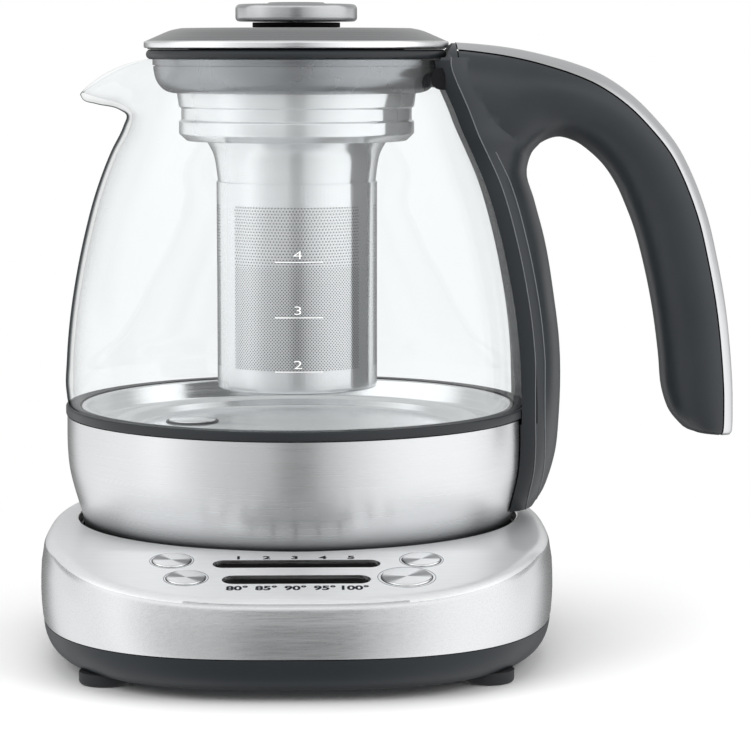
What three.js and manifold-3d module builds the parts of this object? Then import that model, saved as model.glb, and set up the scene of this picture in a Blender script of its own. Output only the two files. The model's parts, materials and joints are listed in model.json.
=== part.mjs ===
// Automatic tea maker: a glass jug with a steel infuser basket and a lid, on a heated steel band,
// standing on a switch base with a tilted control panel.
// Millimetres. +X is towards the handle, -Y is the control panel, +Z is up.
import * as THREE from 'three';
import { mergeVertices } from 'three/addons/utils/BufferGeometryUtils.js';
import Module from 'manifold-3d';

const wasm = await Module();
wasm.setup();

// Clearances
const seatGap = 0.3;
const runningGap = 0.5;
const cutOverrun = 2;

// Base
const baseHalfWidth = 82.6;
const baseFrontReach = 118.5;
const baseBackReach = 82;
const deckHeight = 38.8;
const coverFoot = 14;
const coverWall = 1.2;
const ridgeRadius = 3.5;
const ridgeInset = 0.5;
const sideBulge = 0.45;
const hingeReach = 74;
const hingeBlend = 2.5;
const panelDrop = 9.6;
const recessRadius = 73.4;
const lipChamfer = 0.9;
const flangeReach = 4.4;
const dishWall = 1.9;
const dishRim = 2.1;
const dishRimWall = 1;
const trayUnderside = 3.2;
const trayCurve = 7.6;
const trayWall = 2;
const lipHeight = 3.6;
const lipWall = 1.4;
const footRadius = 8.2;
const footSpread = 59;
const footChamfer = 0.9;
const footPocket = 1.1;
const seatHeight = 33.9;

// Control panel
const smallButtonRadius = 5.95;
const largeButtonRadius = 7.7;
const buttonProud = 0.9;
const buttonSkirt = 2.6;
const buttonFlange = 1;
const buttonTravel = 0.8;
const buttonChamfer = 0.5;
const stemRadius = 2;
const upperRow = 8.3;
const lowerRow = 23.7;
const upperButtonReach = 38.5;
const lowerButtonReach = 33.5;
const upperWindowLength = 51.6;
const upperWindowWidth = 6.8;
const upperWindowRow = 11.5;
const lowerWindowLength = 45.2;
const lowerWindowWidth = 7.4;
const lowerWindowRow = 25.3;
const windowSink = 0.25;
const windowLip = 1;
const windowLipThickness = 1.7;
const boardThickness = 1.6;
const boardLength = 94;
const boardWidth = 28;
const boardRow = 17.1;
const boardDepth = 10.6;
const switchSize = 6.2;
const switchHeight = 3.1;

// Base electrics
const connectorRadius = 20;
const connectorStep = 30.6;
const connectorFlange = 38;
const connectorFlangeThickness = 2.5;
const connectorRise = 12.1;
const connectorBore = 4.6;
const connectorBoreDepth = 10.6;
const powerBoardLength = 72;
const powerBoardWidth = 32;
const powerBoardInset = 29;
const postHeight = 4.8;
const postRadius = 2.6;
const postInset = 4;
const relayLength = 20;
const relayWidth = 16;
const relayHeight = 14;
const transformerLength = 28;
const transformerWidth = 23;
const transformerHeight = 13;
const partSpacing = 15;
const screwShank = 1.6;
const screwHead = 3.1;
const screwHeadHeight = 1.8;
const screwLength = 13;
const screwRecess = 0.6;
const bossRadius = 4.2;
const bossSpread = 48;
const bossBackReach = 36;
const bossFrontReach = 40;
const trayBossHeight = 3.6;
const inletHeight = 25.1;
const inletBore = 3.4;
const inletWall = 1.1;
const inletFlange = 2.2;
const inletFlangeThickness = 1.4;

// Jug, measured up from its foot
const bandRadius = 76.9;
const bandHeight = 37.7;
const bandWall = 1.2;
const bandFootReach = 4.6;
const glassRadius = 77.1;
const glassWall = 2.2;
const glassFoot = 41.3;
const rimHeight = 156.5;
const neckRise = 21.5;
const neckHeight = rimHeight - neckRise;
const spoutReach = 71.5;
const spoutHalfAngle = 36;
const gasketRadius = 77.3;
const gasketInner = 72.7;
const gasketHeight = 4.6;
const gasketFloor = 3;
const gasketRound = 0.5;
const plateWall = 1;
const plateRound = 1;
const plateRun = 1.8;
const plateFloor = 33.8;
const plateFloorRadius = 56;
const plateCrest = 37.2;
const plateCrestRadius = 60.5;
const plateTrough = 35.9;
const plateTroughRadius = 66.5;
const plateTop = 40.3;
const plateSeatGap = 0.4;
const plateFlange = 3;
const spreaderRadius = 54;
const spreaderThickness = 2;
const legRadius = 3.5;
const legReach = 36;
const elementRadius = 48;
const elementTube = 3.2;
const elementTail = 8;
const elementOpening = 26;
const tailRadius = 2;
const sensorReach = 36;
const sensorBack = 16;
const sensorRadius = 8;
const sensorCap = 1.2;
const sensorRound = 0.6;
const sensorStem = 4.2;
const sensorLength = 9.5;
const jugCoverWall = 2;
const cupWall = 1.5;
const jugConnectorRadius = 29.4;
const jugConnectorHeight = 14.2;
const jugScrewLength = 9;
const jugScrewHead = 0.8;
const pinRadius = 2.9;
const pinLength = 11.5;
const thermostatRadius = 11;
const thermostatHeight = 9;

// Handle, measured from the jug's axis and up from its foot
const handleReach = 146.4;
const handleTop = 162.5;
const handleHalfWidth = 19;
const armHalfWidth = 25;
const armOverlap = 3;
const saddleThickness = 4.3;
const inlayDepth = 4.2;
const handleScrewReach = 6.5;
const lowerHandleScrew = 16;
const upperHandleScrew = 28;

// Basket, measured up from the jug's foot
const collarDrop = 11;
const collarTop = rimHeight - collarDrop;
const collarRadius = 39.7;
const collarWaist = 38.2;
const collarHeight = 15.5;
const collarWall = 1;
const sleeveRadius = 37.2;
const sleeveHeight = 13;
const collarRib = 0.8;
const neckLength = 13.5;
const neckFlare = 3.3;
const neckStep = 0.5;
const tubeRadius = 26.7;
const tubeWall = 0.9;
const tubeBottom = 48;
const tubeRound = 1.7;
const tubeFlange = 3.2;
const basketFloorThickness = 0.9;
const skirtRadius = 47.3;
const beadRadius = 49.7;
const beadHeight = 3.3;
const beadRound = 0.9;

// Lid, measured up from the jug's foot
const lidRadius = 50.4;
const lidHeight = 6.5;
const lidWall = 1.4;
const lidPlateau = 38.2;
const lidRim = 2.6;
const lidEdge = 2.2;
const lidRound = 0.6;
const insertRadius = 35.6;
const insertDepth = 15;
const insertWall = 1.6;
const lidSealHeight = 1.8;
const lidSealWidth = 8.4;
const lidSealRound = 0.8;
const knobNeckRadius = 14.5;
const knobNeckHeight = 2.1;
const knobRadius = 20.1;
const knobHeight = 5.2;
const knobRound = 1.1;
const knobCentreRadius = 9;
const knobCentreRise = 0.6;
const knobScrewDepth = 3.1;

// Facets round a full circle
const roundFacets = 32;
const basketFacets = 28;
const hiddenFacets = 16;
const smallFacets = 12;
const boreFacets = 8;
const screwFacets = 6;
const baseFacets = 44;
const sectionFacets = 10;
const slotFacets = 4;
const elementFacets = 8;
const elementSteps = 24;
const ridgeSteps = 3;
const traySteps = 3;
const legCount = 3;
const halvings = 30;

// Outlines, as shares of the sizes that they follow
// glass wall: share of the glass height, share of the glass radius
const glassShares = [
  [0, 0.965], [0.012, 0.987], [0.05, 1], [0.14, 0.997], [0.26, 0.981], [0.38, 0.953], [0.5, 0.915],
  [0.62, 0.866], [0.74, 0.797],
];
// neck away from the spout: share of the neck height, share of the glass radius
const neckShares = [
  [0, 0.752], [0.2, 0.732], [0.45, 0.704], [0.7, 0.674], [0.92, 0.652], [1, 0.6485],
];
// neck along the spout's centre line: share of the neck height, share of the spout's reach
const spoutShares = [
  [0, 0.801], [0.16, 0.787], [0.24, 0.82], [0.33, 0.93], [0.4, 0.99], [0.46, 1],
];
// inside of the neck along the spout's centre line
const spoutInnerShares = [
  [0, 0.77], [0.2, 0.765], [0.32, 0.81], [0.42, 0.91], [0.475, 0.965], [0.5, 0.985],
];
// steel band: share of the band height, share of the band radius
const bandShares = [
  [0, 0.925], [0.12, 0.934], [0.26, 0.953], [0.4, 0.973], [0.56, 0.991], [0.78, 1], [1, 1],
];
// grip: share of the reach and of the top height on the outer and the inner edge, share of the half-width
const gripShares = [
  [0.369, 0.999, 0.385, 0.785, 1.15], [0.41, 0.996, 0.423, 0.76, 1.08],
  [0.478, 0.989, 0.485, 0.735, 1.01],
  [0.556, 0.975, 0.55, 0.793, 0.97], [0.622, 0.959, 0.587, 0.807, 0.95],
  [0.69, 0.935, 0.625, 0.801, 0.91], [0.76, 0.893, 0.663, 0.78, 0.86],
  [0.816, 0.844, 0.701, 0.747, 0.82], [0.864, 0.791, 0.73, 0.707, 0.79],
  [0.899, 0.732, 0.751, 0.665, 0.76], [0.931, 0.658, 0.771, 0.618, 0.74],
  [0.959, 0.559, 0.796, 0.534, 0.71], [0.98, 0.46, 0.815, 0.449, 0.69],
  [0.993, 0.361, 0.829, 0.358, 0.68], [0.999, 0.287, 0.837, 0.289, 0.67],
  [1, 0.243, 0.851, 0.249, 0.64], [1, 0.209, 0.878, 0.216, 0.56], [0.995, 0.193, 0.912, 0.199, 0.39],
];
// head of the grip, in front of the inlay: the same shares, up to the inlay's square end
const headShares = [
  [0.31, 1, 0.325, 0.815, 1.24], [0.345, 1, 0.357, 0.803, 1.2], [0.3668, 0.999, 0.3828, 0.785, 1.155],
];
// arm beside the glass: share of the top height, share of the reach on its free side, share of the half-width
const armShares = [
  [0.969, 0.423, 0.93], [0.9, 0.505, 0.94], [0.834, 0.529, 0.95], [0.802, 0.557, 0.95],
  [0.775, 0.534, 0.95], [0.74, 0.523, 0.95], [0.68, 0.54, 0.97], [0.6, 0.564, 0.98],
  [0.48, 0.587, 1], [0.385, 0.6, 1], [0.237, 0.6, 1], [0.16, 0.592, 0.99], [0.095, 0.571, 0.96],
  [0.05, 0.542, 0.88],
];
// side of the base cover: share of the side's height, share of the bulge
const coverSideShares = [[0, -0.5], [0.1, 0], [0.4, 1], [0.75, 0.5]];
// bend between the deck and the panel, front edge then back edge: least and most share of the deck's width
const bendShares = [[0.33, 0.94], [0.3, 0.6]];
// inside of the tray: share of the tray's curve, share of its height
const trayInnerShares = [[0.2, 0.8], [0.5, 0.3]];
// feet: share of the base's half-depth
const footDepthShare = 0.67;
// ends of the heating element's tube: share of its length
const tailShares = [0.01, 0.99];
// neck of the basket: share of its length, share of its flare
const flareShares = [[0, 0], [0.27, 0.11], [0.7, 0.42], [1, 1]];
// collar of the basket: share of its height, share of its rib
const collarShares = [[0, -2.25], [0.18, 1], [0.41, 1], [0.45, 0], [0.7, 0], [0.74, 1]];
// skirt of the basket gasket: share of its height, share of its radius
const skirtShares = [[0.06, 0.915], [0.23, 0.96], [0.42, 0.985], [0.75, 1]];
// lid outside its plateau: share of the way out to the rim, share of the lid's height fallen
const lidSlopeShares = [[0, 0], [0.235, 0.09], [0.664, 0.41], [0.966, 0.66]];

const planformPower = 2.8;
const backPlanformPower = 2.5;
const sectionPower = 0.85;
const spoutPower = 1.6;
const spoutFallPower = 2.3;
// how far a rounded corner's middle stays from its two sides, for a radius of one
const cornerShare = 1 - Math.cos(Math.PI / 4);

// Colours and finishes
const finishes = {
  brushedSteel: { color: 0xc4c6c8, roughness: 0.32, metalness: 1 },
  polishedSteel: { color: 0xd4d6d8, roughness: 0.16, metalness: 1 },
  glass: { color: 0xf2f6f6, roughness: 0.03, metalness: 0, transparent: true, opacity: 0.3 },
  darkPlastic: { color: 0x4b4d51, roughness: 0.5, metalness: 0 },
  blackPlastic: { color: 0x1d1e20, roughness: 0.25, metalness: 0 },
  rubber: { color: 0x2c2d2f, roughness: 0.8, metalness: 0 },
  silicone: { color: 0x5c5f63, roughness: 0.55, metalness: 0 },
  aluminium: { color: 0xb4b6b8, roughness: 0.45, metalness: 1 },
  brass: { color: 0xc7a35a, roughness: 0.3, metalness: 1 },
  board: { color: 0x2f6b3f, roughness: 0.6, metalness: 0 },
};

function finish(name) {
  return new THREE.MeshStandardMaterial(finishes[name]);
}

// Closed meshes and booleans
function enclosedVolume(position, index) {
  const [a, b, c] = [new THREE.Vector3(), new THREE.Vector3(), new THREE.Vector3()];
  let sum = 0;
  for (let i = 0; i < index.length; i += 3) {
    a.fromBufferAttribute(position, index[i]);
    b.fromBufferAttribute(position, index[i + 1]);
    c.fromBufferAttribute(position, index[i + 2]);
    sum += a.dot(b.cross(c));
  }
  return sum;
}

function closed(geometry) {
  const bare = new THREE.BufferGeometry();
  bare.setAttribute('position', geometry.getAttribute('position').clone());
  if (geometry.index) bare.setIndex(geometry.index.clone());
  const merged = mergeVertices(bare);
  const corners = Array.from(merged.index.array);
  const kept = [];
  for (let i = 0; i < corners.length; i += 3) {
    const [a, b, c] = corners.slice(i, i + 3);
    if (a !== b && b !== c && c !== a) kept.push(a, b, c);
  }
  if (enclosedVolume(merged.getAttribute('position'), kept) < 0) {
    for (let i = 0; i < kept.length; i += 3) [kept[i + 1], kept[i + 2]] = [kept[i + 2], kept[i + 1]];
  }
  merged.setIndex(kept);
  return merged;
}

function toSolid(geometry) {
  const source = closed(geometry);
  const vertProperties = new Float32Array(source.getAttribute('position').array);
  const triVerts = new Uint32Array(source.index.array);
  return new wasm.Manifold(new wasm.Mesh({ numProp: 3, vertProperties, triVerts }));
}

function fromSolid(solid) {
  const mesh = solid.getMesh();
  const geometry = new THREE.BufferGeometry();
  geometry.setAttribute('position', new THREE.BufferAttribute(mesh.vertProperties, 3));
  geometry.setIndex(new THREE.BufferAttribute(mesh.triVerts, 1));
  return geometry;
}

function join(body, ...others) {
  return fromSolid(others.reduce((solid, other) => solid.add(toSolid(other)), toSolid(body)));
}

function cut(body, ...tools) {
  return fromSolid(tools.reduce((solid, tool) => solid.subtract(toSolid(tool)), toSolid(body)));
}

function meet(body, other) {
  return fromSolid(toSolid(body).intersect(toSolid(other)));
}

// Basic forms, upright on Z
function lathe(profile, facets = roundFacets) {
  const points = profile.map(([radius, height]) => new THREE.Vector2(radius, height));
  return new THREE.LatheGeometry(points, facets).rotateX(Math.PI / 2);
}

function latheRing(profile, facets = roundFacets) {
  return lathe([...profile, profile[0]], facets);
}

function rod(radius, from, to, facets = smallFacets) {
  return lathe([[0, from], [radius, from], [radius, to], [0, to]], facets);
}

function block(length, width, from, to) {
  return new THREE.BoxGeometry(length, width, to - from).translate(0, 0, (from + to) / 2);
}

function slot(length, width, from, to) {
  const straight = (length - width) / 2;
  const shape = new THREE.Shape();
  shape.absarc(straight, 0, width / 2, -Math.PI / 2, Math.PI / 2, false);
  shape.absarc(-straight, 0, width / 2, Math.PI / 2, Math.PI * 1.5, false);
  shape.closePath();
  const settings = { depth: to - from, bevelEnabled: false, curveSegments: slotFacets };
  return new THREE.ExtrudeGeometry(shape, settings).translate(0, 0, from);
}

// A skin through rings of equal count, closed round on itself or capped at both ends
function loft(rings, round = false) {
  const count = rings[0].length;
  const positions = rings.flat().flatMap((point) => point.toArray());
  const index = [];
  const bands = round ? rings.length : rings.length - 1;
  for (let i = 0; i < bands; i += 1) {
    const next = (i + 1) % rings.length;
    for (let j = 0; j < count; j += 1) {
      const side = (j + 1) % count;
      const [a, b, c, d] = [i * count + j, i * count + side, next * count + side, next * count + j];
      index.push(a, b, c, a, c, d);
    }
  }
  if (!round) {
    for (const [ring, turned] of [[0, false], [rings.length - 1, true]]) {
      const middle = new THREE.Vector3();
      rings[ring].forEach((point) => middle.add(point));
      positions.push(...middle.divideScalar(count).toArray());
      const hub = positions.length / 3 - 1;
      for (let j = 0; j < count; j += 1) {
        const [a, b] = [ring * count + j, ring * count + (j + 1) % count];
        index.push(...(turned ? [a, b, hub] : [b, a, hub]));
      }
    }
  }
  const geometry = new THREE.BufferGeometry();
  geometry.setAttribute('position', new THREE.Float32BufferAttribute(positions, 3));
  geometry.setIndex(index);
  return closed(geometry);
}

function piece(parent, name, geometry, finishName) {
  const mesh = new THREE.Mesh(closed(geometry), finish(finishName));
  mesh.name = name;
  parent.add(mesh);
  return mesh;
}

function along(table, height, foot, top, scale) {
  const share = (height - foot) / (top - foot);
  const after = table.findIndex(([level]) => level >= share);
  if (after === 0) return table[0][1] * scale;
  if (after < 0) return table[table.length - 1][1] * scale;
  const [low, high] = [table[after - 1], table[after]];
  const part = (share - low[0]) / (high[0] - low[0]);
  return (low[1] + (high[1] - low[1]) * part) * scale;
}

// Base planform: a rounded square seen from above
const baseCentre = (baseBackReach - baseFrontReach) / 2;
const baseHalfDepth = (baseBackReach + baseFrontReach) / 2;
const powerBoardReach = baseBackReach - powerBoardInset;
const panelSlope = Math.tan(THREE.MathUtils.degToRad(panelDrop));

// Distance from the jug's axis to the planform's edge on one bearing, found by halving
function planformReach(angle, inset) {
  const [halfWidth, halfDepth] = [baseHalfWidth - inset, baseHalfDepth - inset];
  const outside = (reach) => {
    const across = Math.abs(Math.cos(angle) * reach) / halfWidth;
    const back = (Math.sin(angle) * reach - baseCentre) / halfDepth;
    const power = back > 0 ? backPlanformPower : planformPower;
    return across ** power + Math.abs(back) ** power > 1;
  };
  let [near, far] = [0, baseHalfWidth + baseFrontReach];
  for (let i = 0; i < halvings; i += 1) {
    const middle = (near + far) / 2;
    if (outside(middle)) far = middle;
    else near = middle;
  }
  return near;
}

function bearing(i) {
  return (i / baseFacets) * Math.PI * 2;
}

function planform(inset, heightAt) {
  const points = [];
  for (let i = 0; i < baseFacets; i += 1) {
    const reach = planformReach(bearing(i), inset);
    const y = Math.sin(bearing(i)) * reach;
    points.push(new THREE.Vector3(Math.cos(bearing(i)) * reach, y, heightAt(y)));
  }
  return points;
}

function circleAlong(radius, heightAt) {
  const points = [];
  for (let i = 0; i < baseFacets; i += 1) {
    const y = Math.sin(bearing(i)) * radius;
    points.push(new THREE.Vector3(Math.cos(bearing(i)) * radius, y, heightAt(y)));
  }
  return points;
}

// A ring across the deck that runs along a line of constant y wherever the deck crosses that line
function deckRing(outer, inner, lineY, leastShare, mostShare, heightAt) {
  return outer.map((point, i) => {
    const wanted = (lineY - point.y) / (inner[i].y - point.y);
    const share = THREE.MathUtils.clamp(wanted, leastShare, mostShare);
    const mixed = point.clone().lerp(inner[i], share);
    mixed.z = heightAt(mixed.y);
    return mixed;
  });
}

// Both edges of the bend between the flat deck and the tilted panel
function bendRings(ridge, lip, heightAt) {
  const front = deckRing(ridge, lip, -hingeReach - hingeBlend, ...bendShares[0], heightAt);
  return [front, deckRing(front, lip, -hingeReach + hingeBlend, ...bendShares[1], heightAt)];
}

// Deck level: flat round the jug, then falling towards the front
function deckAt(y) {
  const forward = -y - hingeReach;
  if (forward <= -hingeBlend) return deckHeight;
  if (forward >= hingeBlend) return deckHeight - forward * panelSlope;
  return deckHeight - (panelSlope * (forward + hingeBlend) ** 2) / (hingeBlend * 4);
}

const level = (height) => () => height;
const deckBelow = (depth) => (y) => deckAt(y) - depth;

function coverShell() {
  const lip = circleAlong(recessRadius + lipChamfer, deckAt);
  const ridge = planform(ridgeInset + ridgeRadius, deckAt);
  const innerLip = circleAlong(recessRadius + coverWall, deckBelow(coverWall));
  const innerRidge = planform(ridgeInset + ridgeRadius, deckBelow(coverWall));
  const flangeTop = seatHeight - seatGap * 2 - dishWall;
  const sideAt = (share) => (y) => coverFoot + (deckAt(y) - ridgeRadius - coverFoot) * share;
  const rings = coverSideShares.map(([share, bulge]) => planform(-sideBulge * bulge, sideAt(share)));
  for (let i = 0; i <= ridgeSteps; i += 1) {
    const turn = ((i / ridgeSteps) * Math.PI) / 2;
    const inset = ridgeInset + ridgeRadius * (1 - Math.cos(turn));
    rings.push(planform(inset, deckBelow(ridgeRadius * (1 - Math.sin(turn)))));
  }
  rings.push(...bendRings(ridge, lip, deckAt), lip);
  rings.push(circleAlong(recessRadius, deckBelow(lipChamfer)));
  rings.push(circleAlong(recessRadius, level(flangeTop)));
  rings.push(circleAlong(recessRadius - flangeReach, level(flangeTop)));
  rings.push(circleAlong(recessRadius - flangeReach, level(flangeTop - coverWall)));
  rings.push(circleAlong(recessRadius + coverWall, level(flangeTop - coverWall)));
  rings.push(innerLip, ...bendRings(innerRidge, innerLip, deckBelow(coverWall)).reverse(), innerRidge);
  rings.push(planform(ridgeInset + coverWall, deckBelow(ridgeRadius)));
  rings.push(planform(sideBulge / 2 + coverWall, level(coverFoot)));
  return loft(rings, true);
}

// The tilted control panel's own frame: origin on the hinge line, +Y up the slope, +Z out of the panel
const panelTurn = new THREE.Euler(THREE.MathUtils.degToRad(panelDrop), 0, 0);
const panelOrigin = new THREE.Vector3(0, -hingeReach, deckHeight);
const panelPose = new THREE.Matrix4()
  .makeRotationFromEuler(panelTurn)
  .setPosition(panelOrigin);

const buttons = [
  { name: 'steep_time_button', x: -upperButtonReach, y: -upperRow, radius: smallButtonRadius },
  { name: 'temperature_button', x: -lowerButtonReach, y: -lowerRow, radius: smallButtonRadius },
  { name: 'timer_button', x: upperButtonReach, y: -upperRow, radius: smallButtonRadius },
  { name: 'start_button', x: lowerButtonReach, y: -lowerRow, radius: largeButtonRadius },
];
const switchFoot = seatGap - boardDepth;
const switchTop = switchFoot + switchHeight;
const windows = [
  { name: 'upper_window', y: -upperWindowRow, length: upperWindowLength, width: upperWindowWidth },
  { name: 'lower_window', y: -lowerWindowRow, length: lowerWindowLength, width: lowerWindowWidth },
];

function baseCover() {
  const tools = buttons.map(({ x, y, radius }) => rod(radius + seatGap, -coverWall - cutOverrun, cutOverrun,
    hiddenFacets).translate(x, y, 0));
  for (const { y, length, width } of windows) {
    tools.push(slot(length, width, -coverWall - cutOverrun, cutOverrun).translate(0, y, 0));
  }
  tools.forEach((tool) => tool.applyMatrix4(panelPose));
  const bushing = rod(inletBore + inletWall + seatGap, 0, baseBackReach + cutOverrun, smallFacets);
  tools.push(bushing.rotateX(-Math.PI / 2).translate(0, 0, inletHeight));
  return cut(coverShell(), ...tools);
}

function footPlaces() {
  const places = [];
  for (const side of [-1, 1]) {
    for (const end of [-1, 1]) {
      places.push([side * footSpread, baseCentre + end * baseHalfDepth * footDepthShare]);
    }
  }
  return places;
}

function bossPlaces() {
  return [
    [-bossSpread, -bossFrontReach], [bossSpread, -bossFrontReach],
    [-bossSpread, bossBackReach], [bossSpread, bossBackReach],
  ];
}

const footTop = trayUnderside + footPocket - seatGap;
const trayFloor = trayUnderside + trayWall;
const trayTop = coverFoot - seatGap;
const trayBossTop = trayFloor + trayBossHeight;
const screwSeat = trayFloor + screwRecess;
const boardLevel = trayFloor + postHeight + seatGap;

function traySolid() {
  const rings = [];
  for (let i = traySteps; i >= 0; i -= 1) {
    const turn = ((i / traySteps) * Math.PI) / 2;
    const inset = seatGap + trayCurve * (1 - Math.cos(turn));
    const height = trayTop - (trayTop - trayUnderside) * Math.sin(turn);
    rings.push(planform(inset, level(height)));
  }
  const lipInset = sideBulge / 2 + coverWall + seatGap;
  rings.push(planform(lipInset, level(trayTop)), planform(lipInset, level(trayTop + lipHeight)));
  rings.push(planform(lipInset + lipWall, level(trayTop + lipHeight)));
  for (const [curve, rise] of trayInnerShares) {
    const height = trayFloor + (trayTop - trayFloor) * rise;
    rings.push(planform(lipInset + lipWall + trayCurve * curve, level(height)));
  }
  rings.push(planform(lipInset + lipWall + trayCurve, level(trayFloor)));
  return loft(rings);
}

function baseTray() {
  const inFloor = trayFloor - trayWall / 2;
  const additions = bossPlaces().map(([x, y]) => rod(bossRadius, inFloor, trayBossTop, boreFacets)
    .translate(x, y, 0));
  for (const [x, y] of boardPosts()) {
    additions.push(rod(postRadius, inFloor, trayFloor + postHeight, boreFacets).translate(x, y, 0));
  }
  const cuts = [];
  for (const [x, y] of bossPlaces()) {
    cuts.push(rod(screwShank + seatGap, 0, trayBossTop + cutOverrun, boreFacets).translate(x, y, 0));
    cuts.push(rod(screwHead + seatGap, 0, screwSeat, boreFacets).translate(x, y, 0));
  }
  for (const [x, y] of footPlaces()) {
    cuts.push(rod(footRadius + seatGap, 0, trayUnderside + footPocket).translate(x, y, 0));
  }
  return cut(join(traySolid(), ...additions), ...cuts);
}

function boardPosts() {
  const [x, y] = [powerBoardLength / 2 - postInset, powerBoardWidth / 2 - postInset];
  return [[-x, -y], [x, -y], [-x, y], [x, y]].map(([px, py]) => [px, powerBoardReach + py]);
}

function foot() {
  return lathe([
    [0, 0], [footRadius - footChamfer, 0], [footRadius, footChamfer], [footRadius, footTop], [0, footTop],
  ], smallFacets);
}

function screw(from, length) {
  return lathe([
    [0, from - screwHeadHeight], [screwHead, from - screwHeadHeight], [screwHead, from],
    [screwShank, from], [screwShank, from + length], [0, from + length],
  ], screwFacets);
}

function seatDish() {
  const floor = seatHeight - seatGap;
  const rimRadius = recessRadius - seatGap;
  const hole = connectorStep + seatGap;
  const body = latheRing([
    [hole, floor - dishWall], [rimRadius, floor - dishWall], [rimRadius, floor + dishRim],
    [rimRadius - dishRimWall, floor + dishRim], [rimRadius - dishRimWall, floor], [hole, floor],
  ]);
  const bossFoot = trayBossTop + seatGap;
  const bosses = bossPlaces().map(([x, y]) => rod(bossRadius, bossFoot, floor - dishWall / 2, boreFacets)
    .translate(x, y, 0));
  const boreTop = screwSeat + screwLength + seatGap;
  const bores = bossPlaces().map(([x, y]) => rod(screwShank + seatGap, 0, boreTop, boreFacets)
    .translate(x, y, 0));
  return cut(join(body, ...bosses), ...bores);
}

function baseConnector() {
  const dishTop = seatHeight - seatGap;
  const flangeTop = dishTop - dishWall - seatGap;
  const top = seatHeight + connectorRise;
  return lathe([
    [0, top - connectorBoreDepth], [connectorBore, top - connectorBoreDepth], [connectorBore, top],
    [connectorRadius, top], [connectorRadius, dishTop], [connectorStep, dishTop],
    [connectorStep, flangeTop], [connectorFlange, flangeTop],
    [connectorFlange, flangeTop - connectorFlangeThickness], [0, flangeTop - connectorFlangeThickness],
  ], hiddenFacets);
}

function cordInlet() {
  const wallOuter = baseBackReach + sideBulge;
  const outside = wallOuter + seatGap;
  const inside = baseBackReach - ridgeInset - coverWall - seatGap;
  const barrel = inletBore + inletWall;
  const profile = [
    [inletBore, inside - inletFlangeThickness], [barrel + inletFlange, inside - inletFlangeThickness],
    [barrel + inletFlange, inside], [barrel, inside], [barrel, outside], [barrel + inletFlange, outside],
    [barrel + inletFlange, outside + inletFlangeThickness], [inletBore, outside + inletFlangeThickness],
  ];
  return latheRing(profile, smallFacets).rotateX(-Math.PI / 2).translate(0, 0, inletHeight);
}

function button(radius) {
  const stemEnd = switchTop + buttonTravel + seatGap;
  return lathe([
    [0, buttonProud], [radius - buttonChamfer, buttonProud], [radius, buttonProud - buttonChamfer],
    [radius, -coverWall - seatGap], [radius + buttonFlange, -coverWall - seatGap],
    [radius + buttonFlange, -coverWall - buttonSkirt], [stemRadius, -coverWall - buttonSkirt],
    [stemRadius, stemEnd], [0, stemEnd],
  ], hiddenFacets);
}

function panelWindow({ length, width }) {
  const [play, lip] = [seatGap * 2, windowLip * 2];
  const lipTop = -coverWall - seatGap;
  const lipFoot = lipTop - windowLipThickness;
  const lens = slot(length - play, width - play, lipFoot, -windowSink);
  const seat = slot(length + lip, width + windowLip, lipFoot, lipTop);
  const guide = slot(length - lip, width - lip, seatGap - boardDepth, lipTop - windowLipThickness / 2);
  return join(lens, seat, guide);
}

function buildBase() {
  const base = new THREE.Group();
  piece(base, 'base_cover', baseCover(), 'brushedSteel');
  piece(base, 'base_tray', baseTray(), 'darkPlastic');
  footPlaces().forEach(([x, y], i) => {
    piece(base, `foot_${i + 1}`, foot(), 'rubber').position.set(x, y, 0);
  });
  bossPlaces().forEach(([x, y], i) => {
    const mesh = piece(base, `tray_screw_${i + 1}`, screw(0, screwLength), 'polishedSteel');
    mesh.position.set(x, y, screwSeat - seatGap);
  });
  piece(base, 'seat_dish', seatDish(), 'darkPlastic');
  piece(base, 'base_connector', baseConnector(), 'blackPlastic');
  piece(base, 'cord_inlet', cordInlet(), 'rubber');
  piece(base, 'power_board', block(powerBoardLength, powerBoardWidth, 0, boardThickness), 'board')
    .position.set(0, powerBoardReach, boardLevel);
  const onBoard = boardLevel + boardThickness + seatGap;
  piece(base, 'relay', block(relayLength, relayWidth, 0, relayHeight), 'blackPlastic')
    .position.set(-partSpacing, powerBoardReach, onBoard);
  piece(base, 'transformer', block(transformerLength, transformerWidth, 0, transformerHeight), 'brass')
    .position.set(partSpacing, powerBoardReach, onBoard);
  base.add(buildPanel());
  return base;
}

function buildPanel() {
  const panel = new THREE.Group();
  panel.position.copy(panelOrigin);
  panel.rotation.copy(panelTurn);
  for (const pane of windows) {
    piece(panel, pane.name, panelWindow(pane), 'blackPlastic').position.y = pane.y;
  }
  const board = piece(panel, 'control_board', block(boardLength, boardWidth, -boardThickness, 0), 'board');
  board.position.set(0, -boardRow, -boardDepth);
  buttons.forEach(({ name, x, y, radius }, i) => {
    piece(panel, name, button(radius), 'brushedSteel').position.set(x, y, 0);
    const body = block(switchSize, switchSize, 0, switchHeight);
    piece(panel, `switch_${i + 1}`, body, 'blackPlastic').position.set(x, y, switchFoot);
  });
  return panel;
}

// Jug
const glassHeight = rimHeight - glassFoot;

function wallRing(radiusAt, heightAt) {
  const points = [];
  for (let i = 0; i < roundFacets; i += 1) {
    const angle = (i / roundFacets) * Math.PI * 2;
    const radius = radiusAt(angle);
    points.push(new THREE.Vector3(Math.cos(angle) * radius, Math.sin(angle) * radius, heightAt(angle)));
  }
  return points;
}

// How much of the spout's form a bearing has: 1 on its centre line, towards -X, and 0 away from it
function spoutShare(angle) {
  const away = Math.abs(angle - Math.PI) / THREE.MathUtils.degToRad(spoutHalfAngle);
  return away >= 1 ? 0 : Math.cos((away * Math.PI) / 2) ** spoutPower;
}

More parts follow.
